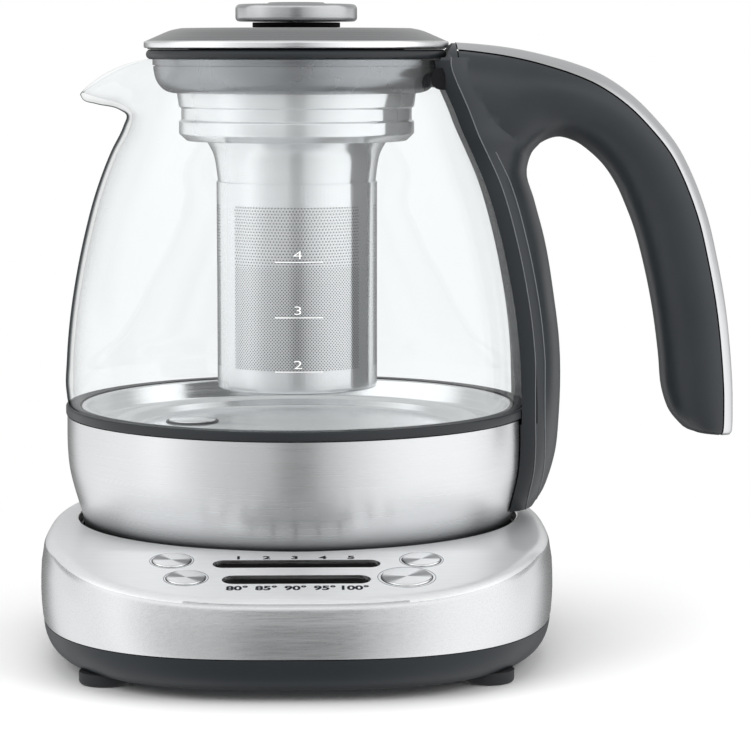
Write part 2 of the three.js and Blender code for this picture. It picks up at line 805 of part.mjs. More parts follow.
function neckRing(neckPoint, spoutPoint, inward) {
  const rise = rimHeight - neckHeight;
  const radiusAt = (angle) => {
    const plain = neckPoint[1] * glassRadius - inward;
    return plain + (spoutPoint[1] * spoutReach - plain) * spoutShare(angle);
  };
  const heightAt = (angle) => {
    const share = neckPoint[0] + (spoutPoint[0] - neckPoint[0]) * spoutShare(angle) ** spoutFallPower;
    return neckHeight + rise * share;
  };
  return wallRing(radiusAt, heightAt);
}

function bodyRing([heightShare, radiusShare], inward) {
  const height = glassFoot + glassHeight * heightShare;
  return wallRing(() => radiusShare * glassRadius - inward, () => height);
}

function jugGlass() {
  const rings = glassShares.map((point) => bodyRing(point, 0));
  neckShares.forEach((point, i) => rings.push(neckRing(point, spoutShares[i], 0)));
  const inner = glassShares.slice(2).map((point) => bodyRing(point, glassWall));
  neckShares.forEach((point, i) => inner.push(neckRing(point, spoutInnerShares[i], glassWall)));
  return loft([...rings, ...inner.reverse()], true);
}

function glassRadiusAt(height) {
  if (height <= glassFoot + glassHeight * glassShares[glassShares.length - 1][0]) {
    return along(glassShares, height, glassFoot, rimHeight, glassRadius);
  }
  return along(neckShares, Math.max(height, neckHeight), neckHeight, rimHeight, glassRadius);
}

const bandRadiusAt = (height) => along(bandShares, height, 0, bandHeight, bandRadius);

function jugBand() {
  const outer = bandShares.map(([height, radius]) => [radius * bandRadius, height * bandHeight]);
  const inner = bandShares.slice(1).map(([height, radius]) => [radius * bandRadius - bandWall,
    height * bandHeight]);
  const foot = bandRadiusAt(0) - bandFootReach;
  const profile = [...outer, ...inner.reverse(), [bandRadiusAt(0) - bandWall, bandWall], [foot, bandWall],
    [foot, 0]];
  const bores = [lowerHandleScrew, upperHandleScrew].map((height) => sideBore(height, cutOverrun));
  return cut(latheRing(profile), ...bores);
}

// A cutter along +X for a handle screw, from inside the band to a depth beyond it
function sideBore(height, beyond) {
  const from = bandRadiusAt(height) - bandWall - cutOverrun;
  return rod(screwShank + seatGap, from, bandRadiusAt(height) + beyond, boreFacets)
    .rotateY(Math.PI / 2)
    .translate(0, 0, height);
}

function trimGasket() {
  const foot = bandHeight + seatGap;
  const lip = glassRadiusAt(foot + gasketHeight) + seatGap;
  const floor = foot + gasketFloor;
  return latheRing([
    [gasketInner, foot], [gasketRadius, foot], [gasketRadius, foot + gasketHeight - gasketRound],
    [(gasketRadius + lip) / 2, foot + gasketHeight], [lip, foot + gasketHeight],
    [glassRadiusAt(glassFoot) + seatGap * 2, floor], [gasketInner, floor],
  ]);
}

function heaterPlate() {
  const plateSeatRadius = gasketInner - plateSeatGap;
  const plateFlangeRadius = plateSeatRadius + plateFlange;
  const flangeTop = bandHeight - seatGap / 3;
  const top = [
    [0, plateFloor], [plateFloorRadius, plateFloor], [plateFloorRadius + plateRun, plateCrest - plateRound],
    [plateCrestRadius, plateCrest], [plateTroughRadius - plateRound, plateTrough],
    [plateTroughRadius + plateRound, plateTrough], [plateSeatRadius - plateRun, plateTop],
    [plateSeatRadius, plateTop - plateRound / 2], [plateSeatRadius, flangeTop],
    [plateFlangeRadius, flangeTop],
  ];
  const under = [
    [plateFlangeRadius, bandHeight - plateWall], [plateSeatRadius - plateWall, bandHeight - plateWall],
    [plateTroughRadius + plateRound, plateTrough - plateWall],
    [plateTroughRadius - plateRound - plateWall / 2, plateTrough - plateWall],
    [plateCrestRadius, plateCrest - plateWall * 1.5], [plateFloorRadius + plateWall, plateFloor - plateWall],
    [0, plateFloor - plateWall],
  ];
  const hole = rod(sensorStem + seatGap, 0, plateTop).translate(-sensorReach, sensorBack, 0);
  return cut(lathe([...top, ...under]), hole);
}

const spreaderTop = plateFloor - plateWall - seatGap;
const spreaderFoot = spreaderTop - spreaderThickness;
const jugCoverFoot = bandWall + seatGap;
const jugCoverTop = jugCoverFoot + jugCoverWall;
const cupRadius = jugConnectorRadius + runningGap;
const cupCeiling = jugConnectorHeight + seatGap;

function legPlaces() {
  const places = [];
  for (let i = 0; i < legCount; i += 1) {
    const angle = ((i + 1 / 2) / legCount) * Math.PI * 2;
    places.push([Math.cos(angle) * legReach, Math.sin(angle) * legReach]);
  }
  return places;
}

function heatSpreader() {
  const legFoot = jugCoverTop + seatGap;
  const legTop = spreaderTop - spreaderThickness / 2;
  const legs = legPlaces().map(([x, y]) => rod(legRadius, legFoot, legTop, boreFacets).translate(x, y, 0));
  const boreTop = jugCoverFoot + jugScrewLength;
  const bores = legPlaces().map(([x, y]) => rod(screwShank + seatGap, 0, boreTop, boreFacets)
    .translate(x, y, 0));
  const hole = rod(sensorStem + seatGap, 0, plateTop).translate(-sensorReach, sensorBack, 0);
  return cut(join(rod(spreaderRadius, spreaderFoot, spreaderTop, hiddenFacets), ...legs), ...bores, hole);
}

class ArcCurve extends THREE.Curve {
  constructor(radius, height, openingDegrees) {
    super();
    this.radius = radius;
    this.height = height;
    this.opening = THREE.MathUtils.degToRad(openingDegrees);
  }

  getPoint(share, target = new THREE.Vector3()) {
    const angle = this.opening / 2 + (Math.PI * 2 - this.opening) * share;
    return target.set(Math.cos(angle) * this.radius, Math.sin(angle) * this.radius, this.height);
  }
}

function heatingElement() {
  const height = spreaderFoot - seatGap - elementTube;
  const path = new ArcCurve(elementRadius, height, elementOpening);
  const section = new THREE.Shape().absarc(0, 0, elementTube, 0, Math.PI * 2, false);
  const tube = new THREE.ExtrudeGeometry(section, {
    steps: elementSteps, curveSegments: elementFacets / 2, bevelEnabled: false, extrudePath: path,
  });
  const tails = tailShares.map((share) => {
    const end = path.getPoint(share);
    return rod(tailRadius, height - elementTube - elementTail, height, screwFacets)
      .translate(end.x, end.y, 0);
  });
  return join(tube, ...tails);
}

function temperatureSensor() {
  const seat = plateFloor + seatGap;
  return lathe([
    [0, seat - sensorLength], [sensorStem, seat - sensorLength], [sensorStem, seat], [sensorRadius, seat],
    [sensorRadius, seat + sensorCap - sensorRound], [sensorRadius - sensorRound, seat + sensorCap],
    [0, seat + sensorCap],
  ], smallFacets).translate(-sensorReach, sensorBack, 0);
}

function jugBaseCover() {
  const outer = bandRadiusAt(jugCoverFoot) - bandWall - runningGap;
  const body = lathe([
    [0, cupCeiling], [cupRadius, cupCeiling], [cupRadius, jugCoverFoot], [outer, jugCoverFoot],
    [outer, jugCoverTop], [cupRadius + cupWall, jugCoverTop], [cupRadius + cupWall, cupCeiling + cupWall],
    [0, cupCeiling + cupWall],
  ]);
  const holes = legPlaces().map(([x, y]) => rod(screwShank + seatGap, 0, jugCoverTop + cutOverrun, boreFacets)
    .translate(x, y, 0));
  return cut(body, ...holes);
}

function jugConnector() {
  const cavity = connectorRadius + runningGap;
  const ceiling = connectorRise + runningGap;
  const hole = pinRadius + seatGap;
  return latheRing([
    [cavity, 0], [jugConnectorRadius, 0], [jugConnectorRadius, jugConnectorHeight],
    [hole, jugConnectorHeight], [hole, ceiling], [cavity, ceiling],
  ], hiddenFacets);
}

// A solid that fills the jug's outside, grown by a clearance: the handle is shaped against it
function jugEnvelope(clearance, lidClearance) {
  const profile = [[0, -cutOverrun], [bandRadiusAt(0) + clearance, -cutOverrun]];
  bandShares.forEach(([height, radius]) => profile.push([radius * bandRadius + clearance,
    height * bandHeight]));
  profile.push([gasketRadius + clearance, bandHeight], [gasketRadius + clearance, glassFoot + gasketFloor]);
  glassShares.slice(3).forEach(([height, radius]) => {
    profile.push([radius * glassRadius + clearance, glassFoot + glassHeight * height]);
  });
  neckShares.slice(0, -1).forEach(([height, radius]) => {
    profile.push([radius * glassRadius + clearance, neckHeight + (rimHeight - neckHeight) * height]);
  });
  profile.push([lidRadius + lidClearance, rimHeight], [lidRadius + lidClearance, handleTop + cutOverrun]);
  profile.push([0, handleTop + cutOverrun]);
  return lathe(profile);
}

// Grip section at one station: an oval from the inner to the outer edge, cut at a depth below the outer one
function gripRing([outX, outZ, inX, inZ, width], cutDepth, forInlay) {
  const outer = new THREE.Vector3(outX * handleReach, 0, outZ * handleTop);
  const inner = new THREE.Vector3(inX * handleReach, 0, inZ * handleTop);
  const middle = outer.clone().add(inner).divideScalar(2);
  const half = outer.distanceTo(inner) / 2;
  const outward = outer.sub(inner).normalize();
  const depth = Math.min(cutDepth, half);
  const turn = Math.acos(((half - depth) / half) ** (1 / sectionPower));
  const [from, sweep] = forInlay ? [-turn, turn * 2] : [turn, (Math.PI - turn) * 2];
  const points = [];
  for (let i = 0; i <= sectionFacets; i += 1) {
    const angle = from + (sweep * i) / sectionFacets;
    const [c, s] = [Math.cos(angle), Math.sin(angle)];
    const y = Math.sign(s) * Math.abs(s) ** sectionPower * handleHalfWidth * width;
    const point = middle.clone().addScaledVector(outward, Math.sign(c) * Math.abs(c) ** sectionPower * half);
    points.push(point.setY(y));
  }
  return points;
}

// Arm section at one height: half an oval, its flat side hidden inside the jug's envelope
function armRing([heightShare, reachShare, widthShare]) {
  const height = heightShare * handleTop;
  const halfWidth = widthShare * armHalfWidth;
  const onGlass = height > glassFoot + gasketHeight;
  const skin = onGlass ? glassRadiusAt(height) : bandRadiusAt(Math.min(height, bandHeight));
  const back = Math.sqrt(skin ** 2 - halfWidth ** 2) - armOverlap;
  const points = [];
  for (let i = 0; i <= sectionFacets; i += 1) {
    const angle = -Math.PI / 2 + (Math.PI * i) / sectionFacets;
    const x = back + (reachShare * handleReach - back) * Math.cos(angle);
    points.push(new THREE.Vector3(x, Math.sin(angle) * halfWidth, height));
  }
  return points;
}

function armSolid() {
  return loft(armShares.map(armRing));
}

function handleShell() {
  const grip = loft(gripShares.map((station) => gripRing(station, inlayDepth + seatGap, false)));
  const head = loft(headShares.map((station) => gripRing(station, seatGap, false)));
  const inner = jugEnvelope(saddleThickness + seatGap, runningGap * 3);
  const bores = [lowerHandleScrew, upperHandleScrew].map((height) => sideBore(height,
    handleScrewReach + seatGap));
  return cut(join(grip, head, armSolid()), inner, ...bores);
}

function handleSaddle() {
  const bores = [lowerHandleScrew, upperHandleScrew].map((height) => sideBore(height, handleScrewReach));
  const strip = meet(armSolid(), jugEnvelope(saddleThickness, 0));
  return cut(strip, jugEnvelope(seatGap, runningGap * 3), ...bores);
}

function handleInlay() {
  const strip = loft(gripShares.map((station) => gripRing(station, inlayDepth, true)));
  return cut(strip, jugEnvelope(runningGap, runningGap));
}

function handleScrew(height) {
  const from = bandRadiusAt(height - screwHead) - bandWall - seatGap * 2;
  const length = bandRadiusAt(height) + handleScrewReach - from;
  return screw(from, length).rotateY(Math.PI / 2).translate(0, 0, height);
}

// Basket
const seamHeight = collarTop - collarHeight - neckLength;
const sleeveTop = collarTop + sleeveHeight;

// One side of the basket's neck, from its seam up to the collar, set in by a wall
function neckSide(inward) {
  const foot = tubeRadius - neckStep;
  return flareShares.map(([height, flare]) => [
    foot + (tubeRadius + neckFlare - foot) * flare - inward, seamHeight + neckLength * height,
  ]);
}

function basketCollar() {
  const bottom = collarTop - collarHeight;
  const sheet = sleeveRadius - collarWall;
  const ribs = collarShares.map(([height, rib]) => [
    collarWaist + collarRib * rib, bottom + collarHeight * height,
  ]);
  const inner = neckSide(collarWall);
  inner.pop();
  const bend = bottom + collarWall;
  return latheRing([
    ...neckSide(0), ...ribs, [collarRadius, collarTop], [sleeveRadius, collarTop],
    [sleeveRadius, sleeveTop], [sheet, sleeveTop], [sheet, ribs[1][1]], [sheet - collarWall * 2, bend],
    [tubeRadius + neckFlare - collarWall, bend], ...inner.reverse(),
  ], basketFacets);
}

function basketTube() {
  const top = seamHeight - seatGap;
  const inside = tubeRadius - tubeWall;
  return latheRing([
    [tubeRadius - tubeFlange, tubeBottom], [tubeRadius - tubeRound, tubeBottom],
    [tubeRadius - tubeRound * cornerShare, tubeBottom + tubeRound * cornerShare],
    [tubeRadius, tubeBottom + tubeRound],
    [tubeRadius, top], [inside, top], [inside, tubeBottom + tubeWall],
    [tubeRadius - tubeFlange, tubeBottom + tubeWall],
  ], basketFacets);
}

function basketFloor() {
  const foot = tubeBottom + tubeWall + seatGap;
  return rod(tubeRadius - tubeWall - seatGap, foot, foot + basketFloorThickness, basketFacets);
}

function basketGasket() {
  const foot = collarTop + seatGap;
  const beadFoot = rimHeight + seatGap;
  const beadTop = beadFoot + beadHeight;
  const inside = sleeveRadius + seatGap;
  const skirt = skirtShares.map(([height, radius]) => [
    skirtRadius * radius, foot + (beadFoot - foot) * height,
  ]);
  return latheRing([
    [inside, foot], [collarRadius + seatGap * 2, foot], ...skirt, [skirtRadius, beadFoot],
    [beadRadius - beadRound, beadFoot], [beadRadius, beadFoot + beadRound],
    [beadRadius, beadTop - beadRound], [beadRadius - beadRound, beadTop], [inside, beadTop],
  ], basketFacets);
}

// Lid
const lidFoot = rimHeight + seatGap + beadHeight + seatGap * 1.3;
const lidTop = lidFoot + lidHeight;
const insertTop = lidTop - lidWall - seatGap;
const screwHole = screwShank + seatGap * 2;
const neckTop = lidTop + seatGap + knobNeckHeight;
const knobFoot = neckTop + seatGap;

// The lid's slope from its plateau towards its rim, set down by a wall
function lidSlope(count, down) {
  return lidSlopeShares.slice(0, count).map(([out, fall]) => [
    lidPlateau + (lidRadius - lidPlateau) * out, lidTop - lidHeight * fall - down,
  ]);
}

function lidCover() {
  const under = lidRadius - lidRim;
  return latheRing([
    [screwHole, lidTop], ...lidSlope(lidSlopeShares.length, 0), [lidRadius, lidFoot + lidEdge - lidRound],
    [lidRadius, lidFoot + lidRound], [lidRadius - lidRound, lidFoot], [under, lidFoot],
    [under, lidFoot + lidWall], ...lidSlope(3, lidWall).reverse(), [screwHole, lidTop - lidWall],
  ], basketFacets);
}

function lidInsert() {
  const foot = insertTop - insertDepth;
  return latheRing([
    [screwHole, insertTop], [insertRadius, insertTop], [insertRadius, foot],
    [insertRadius - insertWall, foot], [insertRadius - insertWall, insertTop - insertWall],
    [screwHole, insertTop - insertWall],
  ], basketFacets);
}

function lidSeal() {
  const foot = rimHeight + seatGap + beadHeight + seatGap;
  const inside = sleeveRadius + collarWall;
  const outside = inside + lidSealWidth;
  return latheRing([
    [inside, foot], [outside, foot], [outside, foot + lidSealHeight - lidSealRound],
    [outside - lidSealRound, foot + lidSealHeight], [inside, foot + lidSealHeight],
  ], hiddenFacets);
}

function knobNeck() {
  return latheRing([
    [screwHole, lidTop + seatGap], [knobNeckRadius, lidTop + seatGap], [knobNeckRadius, neckTop],
    [screwHole, neckTop],
  ], hiddenFacets);
}

function knobCap() {
  const top = knobFoot + knobHeight;
  const bore = screwShank + seatGap;
  return lathe([
    [0, knobFoot + knobScrewDepth], [bore, knobFoot + knobScrewDepth], [bore, knobFoot],
    [knobRadius - knobRound, knobFoot], [knobRadius, knobFoot + knobRound], [knobRadius, top - knobRound],
    [knobRadius - knobRound * cornerShare, top - knobRound * cornerShare], [knobRadius - knobRound, top],
    [knobCentreRadius + knobRound, top], [knobCentreRadius, top + knobCentreRise],
    [0, top + knobCentreRise],
  ], basketFacets);
}

function knobScrew() {
  const seat = insertTop - insertWall - seatGap;
  return screw(seat, knobFoot + knobScrewDepth - seatGap - seat);
}

function buildJug() {
  const jug = new THREE.Group();
  jug.position.z = seatHeight;
  piece(jug, 'jug_connector', jugConnector(), 'blackPlastic');
  piece(jug, 'connector_pin', rod(pinRadius, jugConnectorHeight - pinLength, jugConnectorHeight), 'brass');
  piece(jug, 'jug_glass', jugGlass(), 'glass');
  piece(jug, 'trim_gasket', trimGasket(), 'rubber');
  piece(jug, 'jug_band', jugBand(), 'brushedSteel');
  piece(jug, 'heater_plate', heaterPlate(), 'polishedSteel');
  piece(jug, 'heat_spreader', heatSpreader(), 'aluminium');
  piece(jug, 'heating_element', heatingElement(), 'aluminium');
  piece(jug, 'temperature_sensor', temperatureSensor(), 'polishedSteel');
  piece(jug, 'thermostat', rod(thermostatRadius, 0, thermostatHeight), 'blackPlastic')
    .position.z = cupCeiling + cupWall + seatGap;
  piece(jug, 'jug_base_cover', jugBaseCover(), 'darkPlastic');
  legPlaces().forEach(([x, y], i) => {
    const mesh = piece(jug, `jug_screw_${i + 1}`, jugScrew(), 'polishedSteel');
    mesh.position.set(x, y, jugCoverFoot - seatGap);
  });
  piece(jug, 'handle_shell', handleShell(), 'darkPlastic');
  piece(jug, 'handle_saddle', handleSaddle(), 'darkPlastic');
  piece(jug, 'handle_inlay', handleInlay(), 'brushedSteel');
  [lowerHandleScrew, upperHandleScrew].forEach((height, i) => {
    piece(jug, `handle_screw_${i + 1}`, handleScrew(height), 'polishedSteel');
  });
  jug.add(buildBasket(), buildLid());
  return jug;
}

// A flat-headed screw, thin enough to stay above the jug's foot
function jugScrew() {
  return lathe([
    [0, -jugScrewHead], [screwHead, -jugScrewHead], [screwHead, 0], [screwShank, 0],
    [screwShank, jugScrewLength], [0, jugScrewLength],
  ], screwFacets);
}

function buildBasket() {
  const basket = new THREE.Group();
  piece(basket, 'basket_collar', basketCollar(), 'polishedSteel');
  piece(basket, 'basket_tube', basketTube(), 'brushedSteel');
  piece(basket, 'basket_floor', basketFloor(), 'brushedSteel');
  piece(basket, 'basket_gasket', basketGasket(), 'silicone');
  return basket;
}

function buildLid() {
  const lid = new THREE.Group();
  piece(lid, 'lid_cover', lidCover(), 'brushedSteel');
  piece(lid, 'lid_insert', lidInsert(), 'darkPlastic');
  piece(lid, 'lid_seal', lidSeal(), 'silicone');
  piece(lid, 'knob_neck', knobNeck(), 'darkPlastic');
  piece(lid, 'knob_cap', knobCap(), 'brushedSteel');
  piece(lid, 'knob_screw', knobScrew(), 'polishedSteel');
  return lid;
}

// The whole object, with its origin at the centre of the bottom of its box
const teaMaker = new THREE.Group();
const assembly = new THREE.Group();
assembly.add(buildBase(), buildJug());
teaMaker.add(assembly);
teaMaker.updateMatrixWorld(true);
const extent = new THREE.Box3().setFromObject(assembly);
const centre = extent.getCenter(new THREE.Vector3());
assembly.position.set(-centre.x, -centre.y, -extent.min.z);

export default teaMaker;
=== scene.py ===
import json
import math

import bmesh
import bpy
from mathutils import Matrix, Vector


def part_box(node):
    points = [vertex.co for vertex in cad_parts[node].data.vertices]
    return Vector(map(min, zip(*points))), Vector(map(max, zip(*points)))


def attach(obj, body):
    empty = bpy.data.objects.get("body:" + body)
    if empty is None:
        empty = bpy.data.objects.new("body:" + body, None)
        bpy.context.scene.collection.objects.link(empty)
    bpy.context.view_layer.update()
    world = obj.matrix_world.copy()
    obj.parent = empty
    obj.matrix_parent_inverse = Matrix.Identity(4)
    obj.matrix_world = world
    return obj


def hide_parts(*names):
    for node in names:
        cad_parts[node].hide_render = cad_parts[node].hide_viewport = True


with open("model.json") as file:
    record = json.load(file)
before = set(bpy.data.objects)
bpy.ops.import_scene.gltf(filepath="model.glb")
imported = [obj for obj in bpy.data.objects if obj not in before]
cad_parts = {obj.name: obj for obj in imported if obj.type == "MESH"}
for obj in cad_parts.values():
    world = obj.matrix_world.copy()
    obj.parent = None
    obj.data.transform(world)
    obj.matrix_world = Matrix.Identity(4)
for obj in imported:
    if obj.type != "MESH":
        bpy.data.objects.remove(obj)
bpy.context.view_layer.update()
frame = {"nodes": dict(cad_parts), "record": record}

# Frame: every outline below is in millimetres round the jug's axis, heights from the floor
MM = 0.001


def foot_of(node):
    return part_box(node)[0].z / MM


def top_of(node):
    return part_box(node)[1].z / MM


def radius_of(node):
    low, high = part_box(node)
    return (high.x - low.x) / 2 / MM


def shift(x, y, z=0):
    """A move by so many millimetres."""
    return Matrix.Translation(Vector((x, y, z)) * MM)


def over(node, height=0):
    """The place at a height on the upright line through a node's middle."""
    low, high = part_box(node)
    middle = (low + high) / 2 - jug_axis
    return Matrix.Translation((middle.x, middle.y, height * MM))


band_low, band_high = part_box("jug_band")
jug_axis = Vector(((band_low.x + band_high.x) / 2, (band_low.y + band_high.y) / 2, 0))
jug_frame = Matrix.Translation(jug_axis)
seat_height = foot_of("jug_band")

# Steps round a circle and along a curve
ROUND_STEPS = 192
SMALL_STEPS = 64
CURVE_STEPS = 6
CORNER_STEPS = 5
RING_STEPS = 240
SECTION_STEPS = 44
RIDGE_STEPS = 8
LIP_STEPS = 5
TRAY_STEPS = 12
LENS_STEPS = 5
SLOT_STEPS = 16
RIM_STEPS = 6
CLIP_STEPS = 24
KNOB_STEPS = 7
PATH_STEPS = 5
HALVINGS = 30
CORNER_LIMIT_SHARE = 0.48
FLAT_CORNER = 0.01
ON_AXIS = 1e-6

# Gap between pieces that seat on each other, a step too small to see, and how far a cutting tool reaches
SEAT_GAP = 0.3
STEP = 0.01
TOOL_REACH = 4

# Roundings of edges, and the angle in degrees past which an edge is sharp: on most pieces, on the glass,
# on ribbed steel and on the skirt
HAIR = 0.2
CRISP = 0.3
FINE = 0.4
EDGE = 0.5
EASED = 0.6
SOFT = 0.8
FULL = 1
SHARP = 38
GLASS_SHARP = 60
RIB_SHARP = 30
SKIRT_SHARP = 40

# Camera, from the photograph: focal length, and how far the jug's horizon and axis lie off the middle,
# all in pixels, and its place in millimetres from the jug's axis at floor level
PHOTO_SIZE = 750
FOCAL_PIXELS = 2813
HORIZON_PIXELS = 327
SIDEWAYS_PIXELS = 64
SENSOR_WIDTH = 36
CAMERA_PLACE = (4.7, -938, 194.4)

# Base
HINGE_REACH = 74
HINGE_BLEND = 2.5
PANEL_DROP = math.radians(9.6)
RIDGE_RADIUS = 3.5
RIDGE_INSET = 0.5
SIDE_BULGE = 0.45
BASE_HALF_WIDTH = 82.6
BASE_FRONT = 118.5
BASE_BACK = 82
FRONT_POWER = 2.8
BACK_POWER = 2.5
RECESS_RADIUS = 73.4
LIP_ROUND = 0.9
COVER_WALL = 1.2
DISH_LEVEL = 31.4
DECK_FACING = 0.6
TRAY_CURVE = 7.6
TRAY_UNDERSIDE = 3.2
FOOT_RADIUS = 8.2
INLET_HEIGHT = 25.1
INLET_HOLE = 4.8

# Control panel, down the slope from the hinge line
UPPER_ROW = 8.3
LOWER_ROW = 23.7
UPPER_BUTTONS = 38.5
LOWER_BUTTONS = 33.5
SMALL_BUTTON = 5.95
LARGE_BUTTON = 7.7
BUTTON_PROUD = 0.5
UPPER_WINDOW = (51.6, 6.8, 11.5)
LOWER_WINDOW = (45.2, 7.4, 25.3)
WINDOW_SINK = 1
RING_WIDTH = 0.26
SMALL_RING = 6.9
LARGE_RING = 8.95
BUTTON_LEAN = math.radians(22)
TIME_ROW = 6.1
TIME_DIGIT = 2.7
TIME_PLACES = (-18, 34.8)
TIME_MARKS = ["1", "2", "3", "4", "5"]
TIME_STRETCH = 1.25
HEAT_ROW = 32.8
HEAT_DIGIT = 3.5
HEAT_PLACES = (-17.8, 35.2)
HEAT_MARKS = ["80°", "85°", "90°", "95°", "100°"]
INK_LIFT = 0.02
INK_WEIGHT = 0.05
SIZE_OF_DIGIT = 1.37

# Jug
GLASS_WALL = 2.2
NECK_HEIGHT = seat_height + 135
SPOUT_REACH = 71.5
SPOUT_HALF_ANGLE = math.radians(36)
SPOUT_POWER = 1.6
SPOUT_FALL_POWER = 2.3
BAND_RISE = 1.6
GASKET_RADIUS = 77.3
RIM_BULGE = 0.7
PLATE_HEIGHT = 33.8
PLATE_PROFILE = [
    (0, 0), (56, 0, 1.5), (57.8, 2.6, 1), (60.5, 3.4, 1.4), (65, 2.1, 1), (68, 2.1, 1.4), (70.3, 8.6, 0.8),
    (72.2, 8.5, 0.6), (72.2, 3.8), (75.2, 3.8), (75.2, 2.9), (71.3, 2.9), (67.5, 1.1), (64, 1.1), (60.5, 1.9),
    (57, -1), (0, -1),
]
MARK_GAP = 0.1
LEVELS = [("4", 128.7), ("3", 111.8), ("2", 95.2)]

# Handle
HANDLE_REACH = 146.4
HANDLE_TOP = 162.5
HANDLE_HALF_WIDTH = 19
ARM_HALF_WIDTH = 25
ARM_OVERLAP = 3
SADDLE_THICKNESS = 4.3
INLAY_DEPTH = 4.2
INLAY_THINNING = 1.7
THIN_STRETCH = (0.369, 0.7)
SECTION_POWER = 0.85

# The solid that cuts the handle to the jug: how far it runs past the foot and the handle's top, the heights
# over the glass's foot at which it leaves the gasket and meets the glass, and its gap round the lid
FLOOR_OVERRUN = 3
ROOF_OVERRUN = 4
GASKET_STEP = 3
GASKET_REACH = 14
LID_CLEARANCE = 1.5

# Seams of the handle, drawn as thin tubes lighter than the handle whose colour is a painted highlight along
# the seam's edge: number, distance from the jug's wall, and first and last share of the handle's height
SEAM_RADIUS = 0.2
SEAMS = [(1, 4.45, 0.05, 0.97), (2, 6.95, 0.05, 0.785)]

# Clip tabs under the bead
CLIP_FOOT = 181
CLIP_TOP = 188

# Basket: each zone of the tube's mesh has its count of rows and its radius of hole, and each rib of the
# collar its share of the rib's depth, its height and its rounding
COLLAR_TOP = 145.5
COLLAR_HEIGHT = 15.5
COLLAR_RIBS = [(-2.25, 0, 0.8), (1, 2.4, 1), (1, 6.4, 0.4), (0, 7, 0.4), (0, 10.8, 0.4), (1, 11.4, 0.4)]
NECK_RISE = 13.5
TUBE_WALL = 0.9
TUBE_ROUND = 1.7
MESH_HEIGHTS = (89.6, 123.4, 143.2)
MESH_HALF = math.radians(50)
MESH_COLUMNS = 43
LOWER_MESH = (58, 0.255)
UPPER_MESH = (20, 0.29)
WIDE_PATCH = 34
NARROW_PATCH = 10

# Lid
LID_BORE = 2.2
CAP_DROP = 0.5
SKIRT_GAP = 0.02

# Outlines, as shares of the sizes that they follow
GLASS_SHARES = [
    (0, 0.965), (0.012, 0.987), (0.05, 1), (0.14, 0.997), (0.26, 0.981), (0.38, 0.953), (0.5, 0.915),
    (0.62, 0.866), (0.74, 0.797),
]
NECK_SHARES = [(0, 0.752), (0.2, 0.732), (0.45, 0.704), (0.7, 0.674), (0.92, 0.652), (1, 0.6485)]
SPOUT_SHARES = [(0, 0.801), (0.16, 0.787), (0.24, 0.82), (0.33, 0.93), (0.4, 0.99), (0.46, 1)]
SPOUT_INNER_SHARES = [(0, 0.77), (0.2, 0.765), (0.32, 0.81), (0.42, 0.91), (0.475, 0.965), (0.5, 0.985)]
FLARE_SHARES = [(0, 0), (0.27, 0.11), (0.7, 0.42), (0.93, 0.85), (1, 1)]
SKIRT_SHARES = [(0, 0.87), (0.06, 0.915), (0.23, 0.96), (0.42, 0.985), (0.72, 1)]
LID_SHARES = [(0, 0), (0.235, 0.09), (0.664, 0.41), (0.94, 0.64)]
BAND_SHARES = [(0, 0.925), (0.12, 0.934), (0.26, 0.953), (0.4, 0.973), (0.56, 0.991), (0.78, 1), (1, 1)]
GRIP_SHARES = [
    (0.36, 0.9992, 0.376, 0.789, 1.16), (0.41, 0.996, 0.423, 0.76, 1.08),
    (0.478, 0.989, 0.485, 0.735, 1.01), (0.556, 0.975, 0.55, 0.793, 0.97), (0.622, 0.959, 0.587, 0.807, 0.95),
    (0.69, 0.935, 0.625, 0.801, 0.91), (0.76, 0.893, 0.663, 0.78, 0.86), (0.816, 0.844, 0.701, 0.747, 0.82),
    (0.864, 0.791, 0.73, 0.707, 0.79), (0.899, 0.732, 0.751, 0.665, 0.76), (0.931, 0.658, 0.771, 0.618, 0.74),
    (0.959, 0.559, 0.796, 0.534, 0.71), (0.98, 0.46, 0.815, 0.449, 0.69), (0.993, 0.361, 0.829, 0.358, 0.68),
    (0.999, 0.287, 0.837, 0.289, 0.67), (1, 0.243, 0.851, 0.249, 0.64), (1, 0.209, 0.878, 0.216, 0.56),
    (0.995, 0.193, 0.912, 0.199, 0.39),
]
HEAD_SHARES = [
    (0.31, 1, 0.325, 0.815, 1.24), (0.335, 1, 0.349, 0.805, 1.21), (0.3575, 0.9993, 0.3735, 0.79, 1.165),
]
ARM_SHARES = [
    (0.05, 0.542, 0.88), (0.095, 0.571, 0.96), (0.16, 0.592, 0.99), (0.237, 0.6, 1), (0.385, 0.6, 1),
    (0.48, 0.587, 1), (0.6, 0.564, 0.98), (0.68, 0.54, 0.97), (0.74, 0.523, 0.95), (0.775, 0.534, 0.95),
    (0.802, 0.557, 0.95), (0.834, 0.529, 0.95), (0.9, 0.505, 0.94), (0.969, 0.423, 0.93),
]


# Materials: a short way to build a node tree, then one function for each kind of finish
NOISE_RANGE = (0.3, 0.7)
NOISE_ROUGHNESS = 0.55
RING_DETAIL = 4
BROAD_SCALE = 40
BUMP_DEPTH = 0.0001
BRUSHED_BUMP = 0.12
SPUN_BUMP = 0.08
SPUN_SPREAD = 0.03
GROOVE_TURN = 0.25
WEDGE_START = 0.25
# The band's painted foot shade: darkest up to this height over the seat, gone this much higher
BAND_SHADE = (2.5, 11)
GLASS_ROUGHNESS = 0.02
SMEAR_SCALE = (16, 16, 5)
SMEAR_ROUGHNESS = (0.0, 0.04)
# Tint of the glass's painted dark edge
PAINTED_EDGE_TINT = (0.2, 0.215, 0.22)
SHADE_TINT = (0.95, 0.955, 0.955)


